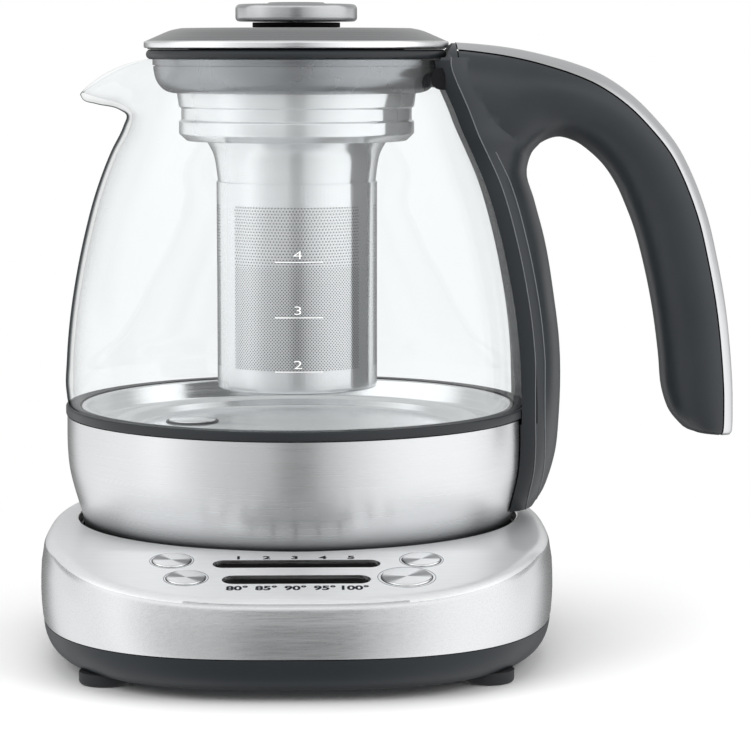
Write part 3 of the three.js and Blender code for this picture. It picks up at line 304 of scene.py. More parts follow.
class Graph:
    """A node tree whose nodes take their inputs as values or as the outputs of other nodes."""

    def __init__(self, tree):
        self.tree = tree

    def feed(self, node, inputs):
        for key, value in inputs.items():
            if hasattr(value, "is_output"):
                self.tree.links.new(value, node.inputs[key])
            else:
                node.inputs[key].default_value = value

    def node(self, kind, inputs=None, **settings):
        made = self.tree.nodes.new("ShaderNode" + kind)
        for key, value in settings.items():
            setattr(made, key, value)
        self.feed(made, inputs or {})
        return made

    def math(self, operation, *values):
        return self.node("Math", dict(enumerate(values)), operation=operation).outputs["Value"]

    def spread(self, value, low, high, first=0, last=1, kind="SMOOTHSTEP"):
        """One range of a value turned into another."""
        return self.node("MapRange", {"Value": value, "From Min": low, "From Max": high, "To Min": first,
                                      "To Max": last}, interpolation_type=kind).outputs["Result"]

    def blend(self, share, first, second, kind="FLOAT"):
        """A value between two, or with kind RGBA a colour between two."""
        return self.node("Mix", {"Factor": share, "A": first, "B": second}, data_type=kind).outputs["Result"]

    def mix(self, share, first, second):
        """A mix of two shaders."""
        return self.node("MixShader", {"Fac": share, 1: first.outputs[0], 2: second.outputs[0]})

    def see_through(self, tint):
        return self.node("BsdfTransparent", {"Color": (*tint, 1)})

    def ramp(self, value, stops):
        """A level read off a few stops."""
        made = self.node("ValToRGB", {"Fac": value})
        places = made.color_ramp.elements
        while len(places) < len(stops):
            places.new(0.5)
        for place, (position, level) in zip(places, stops):
            place.position = position
            place.color = (level, level, level, 1)
        return made.outputs["Color"]

    def axes(self, kind="Object"):
        """The three coordinates of a place, the piece's own unless another kind is asked for."""
        place = self.node("TexCoord").outputs[kind]
        return self.node("SeparateXYZ", {"Vector": place}).outputs

    def reach(self, place):
        """How far a place lies from the Z axis."""
        flat = self.node("VectorMath", {0: place, 1: (1, 1, 0)}, operation="MULTIPLY").outputs["Vector"]
        return self.node("VectorMath", {0: flat}, operation="LENGTH").outputs["Value"]


class Finish(Graph):
    """A material with one shader."""

    def __init__(self, name, colour, roughness, metallic=0.0):
        self.material = bpy.data.materials.new(name)
        self.material.use_nodes = True
        super().__init__(self.material.node_tree)
        self.shader = self.tree.nodes["Principled BSDF"]
        self.output = self.tree.nodes["Material Output"]
        self.colour = colour
        self.shade({"Base Color": (*colour, 1), "Roughness": roughness, "Metallic": metallic})

    def shade(self, inputs):
        self.feed(self.shader, inputs)

    def noise(self, scale, detail=3.0):
        """Noise over the piece's own coordinates, in cycles per metre on each axis."""
        place = self.node("TexCoord").outputs["Object"]
        mapping = self.node("Mapping", {"Vector": place, "Scale": scale})
        return self.node("TexNoise", {"Vector": mapping.outputs["Vector"], "Scale": 1, "Detail": detail,
                                      "Roughness": NOISE_ROUGHNESS}).outputs["Fac"]

    def rings(self, scale):
        """Fine turned rings round the piece's own Z axis."""
        away = self.reach(self.node("TexCoord").outputs["Object"])
        return self.node("TexNoise", {"W": away, "Scale": scale, "Detail": RING_DETAIL},
                         noise_dimensions="1D").outputs["Fac"]

    def remap(self, value, low, high):
        return self.spread(value, *NOISE_RANGE, low, high, "LINEAR")

    def vary_colour(self, value, spread):
        """Colour a little darker and lighter with a value."""
        dark = [c * (1 - spread) for c in self.colour]
        light = [min(c * (1 + spread), 1) for c in self.colour]
        self.shade({"Base Color": self.blend(self.remap(value, 0, 1), (*dark, 1), (*light, 1), "RGBA")})

    def relief(self, value, rough, grain, strength):
        """Roughness that follows one value, and fine bumps that follow another."""
        bump = self.node("Bump", {"Strength": strength, "Distance": BUMP_DEPTH, "Height": grain})
        self.shade({"Roughness": self.remap(value, *rough), "Normal": bump.outputs["Normal"]})

    def tangent(self, anisotropy):
        """Highlights stretched across grooves that run round the piece's own Z axis."""
        made = self.node("Tangent", direction_type="RADIAL", axis="Z")
        self.shade({"Anisotropic": anisotropy, "Anisotropic Rotation": GROOVE_TURN,
                    "Tangent": made.outputs["Tangent"]})


def brushed_steel(name, colour, scale, rough=(0.2, 0.36), spread=0.04, anisotropy=0.0, metallic=1.0):
    made = Finish(name, colour, sum(rough) / 2, metallic)
    grain = made.noise(scale)
    made.vary_colour(grain, spread)
    made.relief(grain, rough, grain, BRUSHED_BUMP)
    if anisotropy:
        made.tangent(anisotropy)
    return made.material


def painted_foot_shade_steel(name, colour, scale, dark, foot, reach, rough=(0.26, 0.34), anisotropy=0.85):
    """Brushed steel whose colour darkens softly towards its foot: painted shade where the seat shades it and
    darkens its reflections.
    """
    made = Finish(name, colour, sum(rough) / 2, 1)
    grain = made.noise(scale)
    made.relief(grain, rough, grain, BRUSHED_BUMP)
    made.tangent(anisotropy)
    rise = made.spread(made.axes()["Z"], foot * MM, (foot + reach) * MM)
    made.shade({"Base Color": made.blend(rise, (*dark, 1), (*colour, 1), "RGBA")})
    return made.material


def spun_steel(name, colour, scale=9000, rough=(0.2, 0.34), anisotropy=0.6, metallic=1.0):
    made = Finish(name, colour, sum(rough) / 2, metallic)
    grain = made.rings(scale)
    made.vary_colour(grain, SPUN_SPREAD)
    made.relief(grain, rough, grain, SPUN_BUMP)
    made.tangent(anisotropy)
    return made.material


def painted_wedge_highlight_steel(name, dark, light, scale=16000, rough=(0.14, 0.24), anisotropy=0.6):
    """Turned steel painted with two dark and two light wedges round the piece's own Z axis: a painted
    reflection of the bow-tie highlight of turned grain.
    """
    made = Finish(name, light, sum(rough) / 2, 1)
    axes = made.axes()
    bearing = made.math("ARCTAN2", axes["Y"], axes["X"])
    wave = made.math("COSINE", made.math("MULTIPLY", bearing, 2))
    share = made.spread(wave, WEDGE_START, 1)
    made.shade({"Base Color": made.blend(share, (*light, 1), (*dark, 1), "RGBA")})
    grain = made.rings(scale)
    made.relief(grain, rough, grain, SPUN_BUMP)
    made.tangent(anisotropy)
    return made.material


def moulded(name, colour, rough, grain=2600, bump=0.12, spread=0.06, specular=0.35, metallic=0.0, ior=1.5):
    made = Finish(name, colour, sum(rough) / 2, metallic)
    made.shade({"IOR": ior, "Specular IOR Level": specular})
    broad = made.noise((BROAD_SCALE,) * 3)
    made.vary_colour(broad, spread)
    made.relief(broad, rough, made.noise((grain,) * 3, detail=2), bump)
    return made.material


def clear_glass(name, tint, mirror, edge=None):
    """Glass seen straight through, whose reflections, and painted dark edge if it has one, grow as it turns
    away; the dark edge is painted shade in place of the dark that bent light shows at the glass's edges.
    """
    made = Finish(name, (1, 1, 1), GLASS_ROUGHNESS, 1)
    made.shade({"Roughness": made.remap(made.noise(SMEAR_SCALE, detail=2), *SMEAR_ROUGHNESS)})
    facing = made.node("LayerWeight", {"Blend": 0.5}).outputs["Facing"]
    seen = made.mix(made.ramp(facing, mirror), made.see_through(tint), made.shader)
    if edge:
        seen = made.mix(made.ramp(facing, edge), seen, made.see_through(PAINTED_EDGE_TINT))
    shadow = made.node("LightPath").outputs["Is Shadow Ray"]
    final = made.mix(shadow, seen, made.see_through(SHADE_TINT))
    made.feed(made.output, {"Surface": final.outputs[0]})
    return made.material


# Share of mirror and of painted dark edge in the glass, from facing the eye to turned away
GLASS_MIRROR = [(0, 0.03), (0.6, 0.05), (0.8, 0.2), (1, 0.6)]
GLASS_INNER_MIRROR = [(0, 0.01), (0.6, 0.03), (1, 0.2)]
GLASS_PAINTED_EDGE = [(0, 0), (0.81, 0), (0.87, 0.9), (1, 1)]

# Colours that several finishes share, and the grain of steel in cycles per metre on each axis
STEEL = (0.64, 0.65, 0.66)
PALE_STEEL = (0.86, 0.87, 0.88)
BRIGHT_STEEL = (0.8, 0.81, 0.82)
BAND_STEEL = (0.67, 0.68, 0.69)
FOOT_SHADE_COLOUR = (0.12, 0.125, 0.13)
CROSS_GRAIN = (60, 2200, 2200)
TURNED_GRAIN = (30, 30, 4200)
POLISH_GRAIN = (20, 20, 900)
TUBE_GRAIN = (20, 20, 2600)
INLAY_GRAIN = (60, 3600, 60)

finishes = {
    "cover_steel": brushed_steel("cover_brushed_steel", STEEL, CROSS_GRAIN, (0.24, 0.34), anisotropy=0.7),
    # The band's steel darkens towards its foot: painted shade.
    "band_steel": painted_foot_shade_steel("band_brushed_steel_foot_shade", BAND_STEEL, TURNED_GRAIN, FOOT_SHADE_COLOUR,
                               seat_height + BAND_SHADE[0], BAND_SHADE[1]),
    # The lid's steel is darker than plain steel: painted shade for the dark its cone reflects.
    "lid_steel": spun_steel("lid_spun_steel_painted_shade", (0.31, 0.315, 0.32), rough=(0.22, 0.34), anisotropy=0.4),
    "inlay_steel": brushed_steel("inlay_brushed_steel", (0.66, 0.67, 0.68), INLAY_GRAIN, (0.26, 0.4)),
    # The buttons' dark and light wedges are a painted reflection.
    "button_steel": painted_wedge_highlight_steel("button_turned_steel_painted_wedges", (0.26, 0.265, 0.27), (0.93, 0.935, 0.94)),
    "basket_steel": brushed_steel("basket_satin_steel", BRIGHT_STEEL, TUBE_GRAIN, (0.12, 0.2), 0.02,
                                  anisotropy=0.75, metallic=0.72),
    "plate_steel": spun_steel("plate_polished_steel", PALE_STEEL, 2600, (0.12, 0.2), anisotropy=0.4,
                              metallic=0.85),
    "screw_steel": spun_steel("screw_steel", STEEL, anisotropy=0.3),
    "jug_glass": clear_glass("clear_glass", (0.966, 0.975, 0.977), GLASS_MIRROR, GLASS_PAINTED_EDGE),
    "tray_plastic": moulded("tray_moulded_plastic", (0.014, 0.018, 0.022), (0.36, 0.46), specular=0.3),
    "handle_plastic": moulded("handle_moulded_plastic", (0.026, 0.03, 0.034), (0.32, 0.4), 3200, 0.06),
    "window_plastic": moulded("window_gloss_plastic", (0.002, 0.002, 0.002), (0.05, 0.09), bump=0.0,
                              specular=0.12, ior=1.1),
    "black_plastic": moulded("black_moulded_plastic", (0.01, 0.01, 0.011), (0.35, 0.45)),
    "dark_rubber": moulded("gasket_rubber", (0.018, 0.021, 0.024), (0.35, 0.45), bump=0.05),
    "foot_rubber": moulded("foot_rubber", (0.022, 0.023, 0.025), (0.7, 0.8), 1800),
    "silicone": moulded("satin_silicone", (0.3, 0.31, 0.325), (0.22, 0.3), bump=0.04, spread=0.02,
                        metallic=0.92),
    "aluminium": moulded("cast_aluminium", (0.5, 0.51, 0.52), (0.4, 0.55)),
    "brass": moulded("brass", (0.6, 0.42, 0.16), (0.28, 0.36)),
    "board": moulded("board_green", (0.02, 0.09, 0.035), (0.4, 0.55)),
}
inner_glass = clear_glass("clear_glass_inside", (0.985, 0.99, 0.99), GLASS_INNER_MIRROR)
saddle_finish = moulded("saddle_moulded_plastic", (0.011, 0.014, 0.017), (0.32, 0.42), specular=0.25)
# Near-black for the sheet behind the tube's holes: painted shade.
hole_shade_finish = moulded("hole_painted_shade", (0.03, 0.034, 0.04), (0.5, 0.6), bump=0.0)
# Near-black for pieces in the shade of a gap: painted shadow.
painted_shadow_finish = moulded("painted_groove_shadow", (0.004, 0.004, 0.005), (0.6, 0.7), bump=0.0, specular=0.1)
seam_highlight_finish = moulded("seam_painted_highlight", (0.16, 0.17, 0.18), (0.25, 0.35), bump=0.03)
ink_finish = moulded("panel_ink", (0.018, 0.021, 0.026), (0.5, 0.6), bump=0.0, specular=0.1, ior=1.2)
mark_finish = moulded("mark_ink", (0.9, 0.9, 0.9), (0.4, 0.5), bump=0.0, spread=0.02)
# A lighter, less metallic copy of the cover's steel for its faces that face up: painted light on the top of
# the base.
deck_painted_light_finish = brushed_steel("deck_brushed_steel_painted_light", (0.82, 0.83, 0.84), CROSS_GRAIN, (0.28, 0.38),
                            anisotropy=0.6, metallic=0.62)
ring_finish = brushed_steel("ring_dark_steel", (0.36, 0.38, 0.4), POLISH_GRAIN, (0.2, 0.3), 0.01)
knob_finish = brushed_steel("knob_brushed_steel", (0.5, 0.51, 0.52), TURNED_GRAIN, (0.2, 0.28),
                            anisotropy=0.85)
rim_finish = brushed_steel("lid_rim_steel", PALE_STEEL, TURNED_GRAIN, (0.24, 0.32), anisotropy=0.85)
polished_finish = brushed_steel("lip_polished_steel", PALE_STEEL, POLISH_GRAIN, (0.06, 0.12), 0.01)


# Mesh helpers
def smooth_path(points, steps=CURVE_STEPS):
    """A curve through the points, with as many steps between each two."""
    points = [Vector(point) for point in points]
    lengths = [(b - a).length for a, b in zip(points, points[1:])]
    slopes = []
    for i in range(len(points)):
        before = (points[i] - points[i - 1]) / lengths[i - 1] if i else None
        after = (points[i + 1] - points[i]) / lengths[i] if i < len(lengths) else None
        if before is None or after is None:
            slopes.append(after if before is None else before)
        else:
            total = lengths[i - 1] + lengths[i]
            slopes.append((before * lengths[i] + after * lengths[i - 1]) / total)
    path = []
    for i, length in enumerate(lengths):
        for k in range(steps):
            t = k / steps
            path.append(points[i] * (2 * t ** 3 - 3 * t ** 2 + 1)
                        + slopes[i] * (length * (t ** 3 - 2 * t ** 2 + t))
                        + points[i + 1] * (3 * t ** 2 - 2 * t ** 3)
                        + slopes[i + 1] * (length * (t ** 3 - t ** 2)))
    return [tuple(point) for point in path + [points[-1]]]


def rounded(outline, steps=CORNER_STEPS):
    """A closed outline whose corners (across, height, radius) become arcs."""
    points = []
    for i, corner in enumerate(outline):
        here = Vector(corner[:2])
        radius = corner[2] if len(corner) > 2 else 0
        before = Vector(outline[i - 1][:2]) - here
        after = Vector(outline[(i + 1) % len(outline)][:2]) - here
        half = before.angle(after) / 2 if radius else 0
        if not radius or half > math.pi / 2 - FLAT_CORNER:
            points.append(tuple(here))
            continue
        reach = min(radius / math.tan(half), before.length * CORNER_LIMIT_SHARE,
                    after.length * CORNER_LIMIT_SHARE)
        centre = here + (before.normalized() + after.normalized()).normalized() * (reach / math.cos(half))
        start = here + before.normalized() * reach - centre
        end = here + after.normalized() * reach - centre
        turn = math.atan2(end.y, end.x) - math.atan2(start.y, start.x)
        turn = (turn + math.pi) % (math.pi * 2) - math.pi
        for k in range(steps + 1):
            points.append(tuple(centre + Matrix.Rotation(turn * k / steps, 2) @ start))
    return points


def lathe(outline, steps=ROUND_STEPS):
    """Turn an outline of (radius, height) points round the axis."""
    points, rows, faces = [], [], []
    for radius, height in outline:
        if radius < ON_AXIS:
            rows.append([len(points)] * steps)
            points.append((0, 0, height))
            continue
        rows.append(range(len(points), len(points) + steps))
        for i in range(steps):
            angle = math.tau * i / steps
            points.append((radius * math.cos(angle), radius * math.sin(angle), height))
    for low, high in zip(rows, list(rows[1:]) + [rows[0]]):
        for i in range(steps):
            after = (i + 1) % steps
            face = list(dict.fromkeys([low[i], low[after], high[after], high[i]]))
            if len(face) > 2:
                faces.append(face)
    return points, faces


def skin(rings, closed=False):
    """A skin through rings of equal count, capped at both ends or closed round on itself."""
    count = len(rings[0])
    points = [point for ring in rings for point in ring]
    starts = [i * count for i in range(len(rings))]
    pairs = list(zip(starts, starts[1:]))
    faces = []
    if closed:
        pairs.append((starts[-1], 0))
    for low, high in pairs:
        for i in range(count):
            after = (i + 1) % count
            faces.append([low + i, low + after, high + after, high + i])
    if not closed:
        faces.append(list(range(count)))
        faces.append(list(range(starts[-1], starts[-1] + count)))
    return points, faces


def make_object(name, shape, pose=None):
    points, faces = shape
    mesh = bpy.data.meshes.new(name)
    mesh.from_pydata([Vector(point) * MM for point in points], [], faces)
    work = bmesh.new()
    work.from_mesh(mesh)
    bmesh.ops.recalc_face_normals(work, faces=work.faces)
    work.to_mesh(mesh)
    work.free()
    made = bpy.data.objects.new(name, mesh)
    bpy.context.collection.objects.link(made)
    made.matrix_world = jug_frame @ (pose or Matrix())
    return made


def combine(made, operation, shape, pose=None):
    """Join, cut or keep a shape in an object, and keep the result as its mesh."""
    tool = make_object("tool", shape, pose)
    change = made.modifiers.new("change", "BOOLEAN")
    change.operation = operation
    change.solver = "EXACT"
    change.object = tool
    bpy.context.view_layer.update()
    result = made.evaluated_get(bpy.context.evaluated_depsgraph_get())
    old, new = made.data, bpy.data.meshes.new_from_object(result)
    made.modifiers.remove(change)
    made.data = new
    new.name = old.name
    bpy.data.meshes.remove(old)
    bpy.data.meshes.remove(tool.data)


def dress(made, body, slot, finish=None, replaces=(), sharp=SHARP):
    """Shade a piece, give it its material, and let it ride on its body."""
    mesh = made.data
    mesh.shade_smooth()
    mesh.set_sharp_from_angle(angle=math.radians(sharp))
    mesh.materials.clear()
    mesh.materials.append(finish or finishes[slot])
    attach(made, body)
    if replaces:
        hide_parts(*replaces)
    return made


def add(name, shape, body, slot, finish=None, replaces=(), pose=None, sharp=SHARP):
    return dress(make_object(name, shape, pose), body, slot, finish, replaces, sharp)


def turn_piece(name, outline, body, slot, node=None, steps=ROUND_STEPS, corners=CORNER_STEPS, **rest):
    """Add a piece turned round the axis from an outline of corners, in place of a node if one is named."""
    shape = lathe(rounded(outline, corners), steps)
    return add(name, shape, body, slot, replaces=[node] if node else (), **rest)


def quarter(steps):
    """Angles from none to a right angle, in even steps."""
    return [math.pi / 2 * k / steps for k in range(steps + 1)]


# Base planform: a rounded square seen from above
base_centre = (BASE_BACK - BASE_FRONT) / 2
base_half_depth = (BASE_BACK + BASE_FRONT) / 2
deck_height = top_of("base_cover")
cover_foot = foot_of("base_cover")
dish_floor = seat_height - SEAT_GAP


def last_before(near, far, is_past):
    """The largest value, to a hair, that isn't past a limit, found by halving."""
    for _ in range(HALVINGS):
        middle = (near + far) / 2
        if is_past(middle):
            far = middle
        else:
            near = middle
    return near


def planform_reach(angle, inset):
    def is_outside(reach):
        across = abs(math.cos(angle) * reach) / (BASE_HALF_WIDTH - inset)
        back = (math.sin(angle) * reach - base_centre) / (base_half_depth - inset)
        power = BACK_POWER if back > 0 else FRONT_POWER
        return across ** power + abs(back) ** power > 1

    return last_before(0.0, BASE_HALF_WIDTH + BASE_FRONT, is_outside)


def deck_at(y):
    """Deck level: flat round the jug, then falling towards the front."""
    forward = -y - HINGE_REACH
    slope = math.tan(PANEL_DROP)
    if forward <= -HINGE_BLEND:
        return deck_height
    if forward >= HINGE_BLEND:
        return deck_height - forward * slope
    return deck_height - slope * (forward + HINGE_BLEND) ** 2 / (HINGE_BLEND * 4)


def base_ring(reach_at, height_at):
    ring = []
    for i in range(RING_STEPS):
        angle = math.tau * i / RING_STEPS
        reach = reach_at(angle)
        y = math.sin(angle) * reach
        ring.append((math.cos(angle) * reach, y, height_at(y)))
    return ring


def planform(inset, height_at):
    return base_ring(lambda angle: planform_reach(angle, inset), height_at)


def circle(radius, height_at):
    return base_ring(lambda angle: radius, height_at)


def below(depth):
    return lambda y: deck_at(y) - depth


def level(height):
    return lambda y: height


SIDE_SHARES = [(0, -0.5), (0.04, -0.1), (0.1, 0.2), (0.25, 0.75), (0.4, 1), (0.6, 0.85), (0.8, 0.4)]
DECK_RINGS = 30


def cover_shape():
    def side_at(share):
        return lambda y: cover_foot + (deck_at(y) - RIDGE_RADIUS - cover_foot) * share

    rings = [planform(-SIDE_BULGE * bulge, side_at(share)) for share, bulge in SIDE_SHARES]
    for turn in quarter(RIDGE_STEPS):
        inset = RIDGE_INSET + RIDGE_RADIUS * (1 - math.cos(turn))
        rings.append(planform(inset, below(RIDGE_RADIUS * (1 - math.sin(turn)))))
    outer = rings[-1]
    lip = circle(RECESS_RADIUS + LIP_ROUND, deck_at)
    for k in range(1, DECK_RINGS):
        ring = []
        for a, b in zip(outer, lip):
            x, y = [a[i] + (b[i] - a[i]) * k / DECK_RINGS for i in (0, 1)]
            ring.append((x, y, deck_at(y)))
        rings.append(ring)
    for turn in quarter(LIP_STEPS):
        radius = RECESS_RADIUS + LIP_ROUND * (1 - math.sin(turn))
        rings.append(circle(radius, below(LIP_ROUND * (1 - math.cos(turn)))))
    rings.append(circle(RECESS_RADIUS, level(DISH_LEVEL)))
    rings.append(circle(RECESS_RADIUS + COVER_WALL, level(DISH_LEVEL)))
    rings.append(circle(RECESS_RADIUS + COVER_WALL, below(COVER_WALL)))
    rings.append(planform(RIDGE_INSET + RIDGE_RADIUS, below(COVER_WALL)))
    rings.append(planform(RIDGE_INSET + COVER_WALL, below(RIDGE_RADIUS)))
    rings.append(planform(COVER_WALL, level(cover_foot)))
    return skin(rings, closed=True)


panel_pose = shift(0, -HINGE_REACH, deck_height) @ Matrix.Rotation(PANEL_DROP, 4, "X")
inlet_pose = shift(0, BASE_BACK, INLET_HEIGHT) @ Matrix.Rotation(-math.pi / 2, 4, "X")


def on_panel(x, y, z=0):
    return panel_pose @ shift(x, y, z)


def slot_ring(length, width, height):
    """A slot with round ends, as one ring."""
    half, radius = (length - width) / 2, width / 2
    ring = []
    for side in (1, -1):
        for k in range(SLOT_STEPS + 1):
            angle = -math.pi / 2 + math.pi * k / SLOT_STEPS
            ring.append((side * (half + radius * math.cos(angle)), side * radius * math.sin(angle), height))
    return ring


def slot_tool(length, width):
    return skin([slot_ring(length, width, -TOOL_REACH), slot_ring(length, width, TOOL_REACH)])


def rod_tool(radius):
    low, high = -TOOL_REACH, TOOL_REACH
    return lathe([(0, low), (radius, low), (radius, high), (0, high)], SMALL_STEPS)


buttons = [
    ("steep_time", -UPPER_BUTTONS, -UPPER_ROW, SMALL_BUTTON, SMALL_RING),
    ("temperature", -LOWER_BUTTONS, -LOWER_ROW, SMALL_BUTTON, SMALL_RING),
    ("timer", UPPER_BUTTONS, -UPPER_ROW, SMALL_BUTTON, SMALL_RING),
    ("start", LOWER_BUTTONS, -LOWER_ROW, LARGE_BUTTON, LARGE_RING),
]
windows = [("upper", *UPPER_WINDOW), ("lower", *LOWER_WINDOW)]


def add_cover():
    cover = make_object("base_cover_skin", cover_shape())
    for _, x, y, radius, _ in buttons:
        combine(cover, "DIFFERENCE", rod_tool(radius + SEAT_GAP), on_panel(x, y))
    for _, length, width, row in windows:
        combine(cover, "DIFFERENCE", slot_tool(length, width), on_panel(0, -row))
    combine(cover, "DIFFERENCE", rod_tool(INLET_HOLE), inlet_pose)
    dress(cover, "base", "cover_steel", replaces=["base_cover"])
    cover.data.materials.append(polished_finish)
    cover.data.materials.append(deck_painted_light_finish)
    # Faces round the recess's rim take the polished steel, and faces that face up the deck's lighter copy,
    # which is painted light.
    for face in cover.data.polygons:
        middle = face.center / MM
        if middle.xy.length < RECESS_RADIUS + LIP_ROUND and middle.z > deck_height - LIP_ROUND:
            face.material_index = 1
        elif face.normal.z > DECK_FACING:
            face.material_index = 2


def add_tray():
    top = cover_foot - SEAT_GAP
    rings = []
    for turn in reversed(quarter(TRAY_STEPS)):
        inset = SEAT_GAP + TRAY_CURVE * (1 - math.cos(turn))
        rings.append(planform(inset, level(top - (top - TRAY_UNDERSIDE) * math.sin(turn))))
    tongue, tongue_rise, wall = 1.8, 3.6, 1.4
    floor_inset, floor_level = 10.8, 5.2
    for inset, height in ((tongue, top), (tongue, top + tongue_rise), (tongue + wall, top + tongue_rise),
                          (floor_inset, floor_level)):
        rings.append(planform(inset, level(height)))
    add("base_tray_shell", skin(rings), "base", "tray_plastic", replaces=["base_tray"])


def add_feet():
    tread, edge, height = 1.2, 0.3, 4
    for i in range(1, 5):
        outline = [(0, 0), (FOOT_RADIUS, 0, tread), (FOOT_RADIUS, height, edge), (0, height)]
        turn_piece(f"rubber_foot_{i}", outline, "base", "foot_rubber", f"foot_{i}", SMALL_STEPS,
                   pose=over(f"foot_{i}"))


def add_dish():
    hole, thickness, rise, wall, edge = 30.9, 1.9, 2.1, 1, 0.4
    rim, bottom, top = RECESS_RADIUS - SEAT_GAP, dish_floor - thickness, dish_floor + rise
    outline = [(hole, bottom), (rim, bottom), (rim, top, edge), (rim - wall, top, edge),
               (rim - wall, dish_floor, EASED), (hole, dish_floor, EDGE)]
    turn_piece("seat_dish_turned", outline, "base", "tray_plastic", "seat_dish")


def add_connector():
    socket, socket_depth, side, flange, flange_depth = 4.6, 10.6, 20, 30.6, 4
    top, bottom = top_of("base_connector"), dish_floor - flange_depth
    ring, ring_width, ring_depth, edge, corner = 12, 2, 2, 0.4, 0.3
    outline = [(0, top - socket_depth), (socket, top - socket_depth), (socket, top, EASED), (ring, top, edge),
               (ring, top - ring_depth, corner), (ring + ring_width, top - ring_depth, corner),
               (ring + ring_width, top, edge), (side, top, FULL), (side, dish_floor, SOFT),
               (flange, dish_floor, edge), (flange, bottom), (0, bottom)]
    turn_piece("base_connector_tower", outline, "base", "black_plastic", "base_connector", SMALL_STEPS * 2)


def add_inlet():
    bore, sleeve, flange = 3.4, 4.5, 6.7
    inside, seat, face, face_round = -3.3, 0.75, 2.15, 0.7
    outline = [(bore, inside), (sleeve, inside), (sleeve, seat), (flange, seat, EDGE),
               (flange, face, face_round), (bore, face, FINE)]
    turn_piece("cord_inlet_bushing", outline, "base", "foot_rubber", "cord_inlet", SMALL_STEPS,
               pose=inlet_pose)


def add_base():
    add_cover()
    add_tray()
    add_feet()
    add_dish()
    add_connector()
    add_inlet()


def add_windows():
    gap, rounding, dome, depth = SEAT_GAP * 2, 0.8, 0.2, 3
    for name, length, width, row in windows:
        rings = [slot_ring(length - gap, width - gap, -depth)]
        for turn in quarter(LENS_STEPS):
            inset = gap + rounding * (1 - math.cos(turn))
            height = -WINDOW_SINK - dome * (1 - math.sin(turn))
            rings.append(slot_ring(length - inset, width - inset, height))
        add(f"{name}_window_lens", skin(rings), "base", "window_plastic", replaces=[f"{name}_window"],
            pose=on_panel(0, -row))


def add_buttons():
    hollow, shoulder, hollow_round, edge = 0.12, 0.08, 3, 0.4
    skirt, skirt_top, foot = 1, -1.5, -3.8
    line_foot, line_top, line_edge = -0.1, 0.07, 0.05
    for name, x, y, radius, ring in buttons:
        cap = [(0, BUTTON_PROUD - hollow), (radius * 0.5, BUTTON_PROUD - shoulder, hollow_round),
               (radius, BUTTON_PROUD, edge), (radius, skirt_top), (radius + skirt, skirt_top),
               (radius + skirt, foot), (0, foot)]
        lean = Matrix.Rotation(math.copysign(BUTTON_LEAN, x), 4, "Z")
        turn_piece(f"{name}_button_cap", cap, f"{name}_key", "button_steel", f"{name}_button",
                   SMALL_STEPS * 2, pose=on_panel(x, y) @ lean)
        line = [(ring - RING_WIDTH, line_foot), (ring, line_foot), (ring, line_top, line_edge),
                (ring - RING_WIDTH, line_top, line_edge)]
        turn_piece(f"{name}_ring", line, "base", "cover_steel", None, SMALL_STEPS * 2, 2, finish=ring_finish,
                   pose=on_panel(x, y))


def add_panel_marks():
    rows = (("time", TIME_MARKS, *TIME_PLACES, TIME_ROW, TIME_DIGIT, TIME_STRETCH),
            ("heat", HEAT_MARKS, *HEAT_PLACES, HEAT_ROW, HEAT_DIGIT, 1))
    for i in range(len(TIME_MARKS)):
        for kind, marks, first, span, row, height, stretch in rows:
            place = on_panel(first + span * i / (len(marks) - 1), -row, INK_LIFT)
            add_text(f"{kind}_mark_{i + 1}", marks[i], height, place, ink_finish, "base", "tray_plastic",
                     stretch=stretch, weight=INK_WEIGHT)


def text_mesh(text, height, stretch, weight, depth=0.04):
    curve = bpy.data.curves.new(text, "FONT")
    curve.body = text
    curve.align_x = "CENTER"
    curve.align_y = "CENTER"
    curve.size = height * SIZE_OF_DIGIT * MM
    curve.extrude = depth * MM / 2
    curve.offset = height * weight * MM
    curve.resolution_u = 4
    made = bpy.data.objects.new(text, curve)
    bpy.context.collection.objects.link(made)
    bpy.context.view_layer.update()
    result = made.evaluated_get(bpy.context.evaluated_depsgraph_get())
    mesh = bpy.data.meshes.new_from_object(result)
    bpy.data.objects.remove(made)
    for vertex in mesh.vertices:
        vertex.co.x *= stretch
    return mesh


def add_text(name, text, height, pose, finish, body, slot, wrap=None, stretch=1.0, weight=0.0):
    mesh = text_mesh(text, height, stretch, weight)
    if wrap:
        for vertex in mesh.vertices:
            vertex.co = wrap(vertex.co)
    made = bpy.data.objects.new(name, mesh)
    bpy.context.collection.objects.link(made)
    made.matrix_world = jug_frame @ pose
    dress(made, body, slot, finish)


# Jug
glass_foot = foot_of("jug_glass")
rim_height = top_of("jug_glass")
glass_radius = radius_of("trim_gasket") - 0.2
band_radius = radius_of("jug_band")
band_height = top_of("jug_band") - seat_height
glass_outline = smooth_path(
    [(r * glass_radius, glass_foot + (rim_height - glass_foot) * h) for h, r in GLASS_SHARES]
    + [(r * glass_radius, NECK_HEIGHT + (rim_height - NECK_HEIGHT) * h) for h, r in NECK_SHARES])
band_outline = smooth_path([(r * band_radius, seat_height + band_height * h) for h, r in BAND_SHARES])


def radius_at(outline, height):
    for (r1, z1), (r2, z2) in zip(outline, outline[1:]):
        if z1 <= height <= z2:
            return r1 + (r2 - r1) * (height - z1) / (z2 - z1)
    return outline[0][0] if height < outline[0][1] else outline[-1][0]


def spout_share(angle):
    away = abs(angle - math.pi) / SPOUT_HALF_ANGLE
    return 0 if away >= 1 else math.cos(away * math.pi / 2) ** SPOUT_POWER


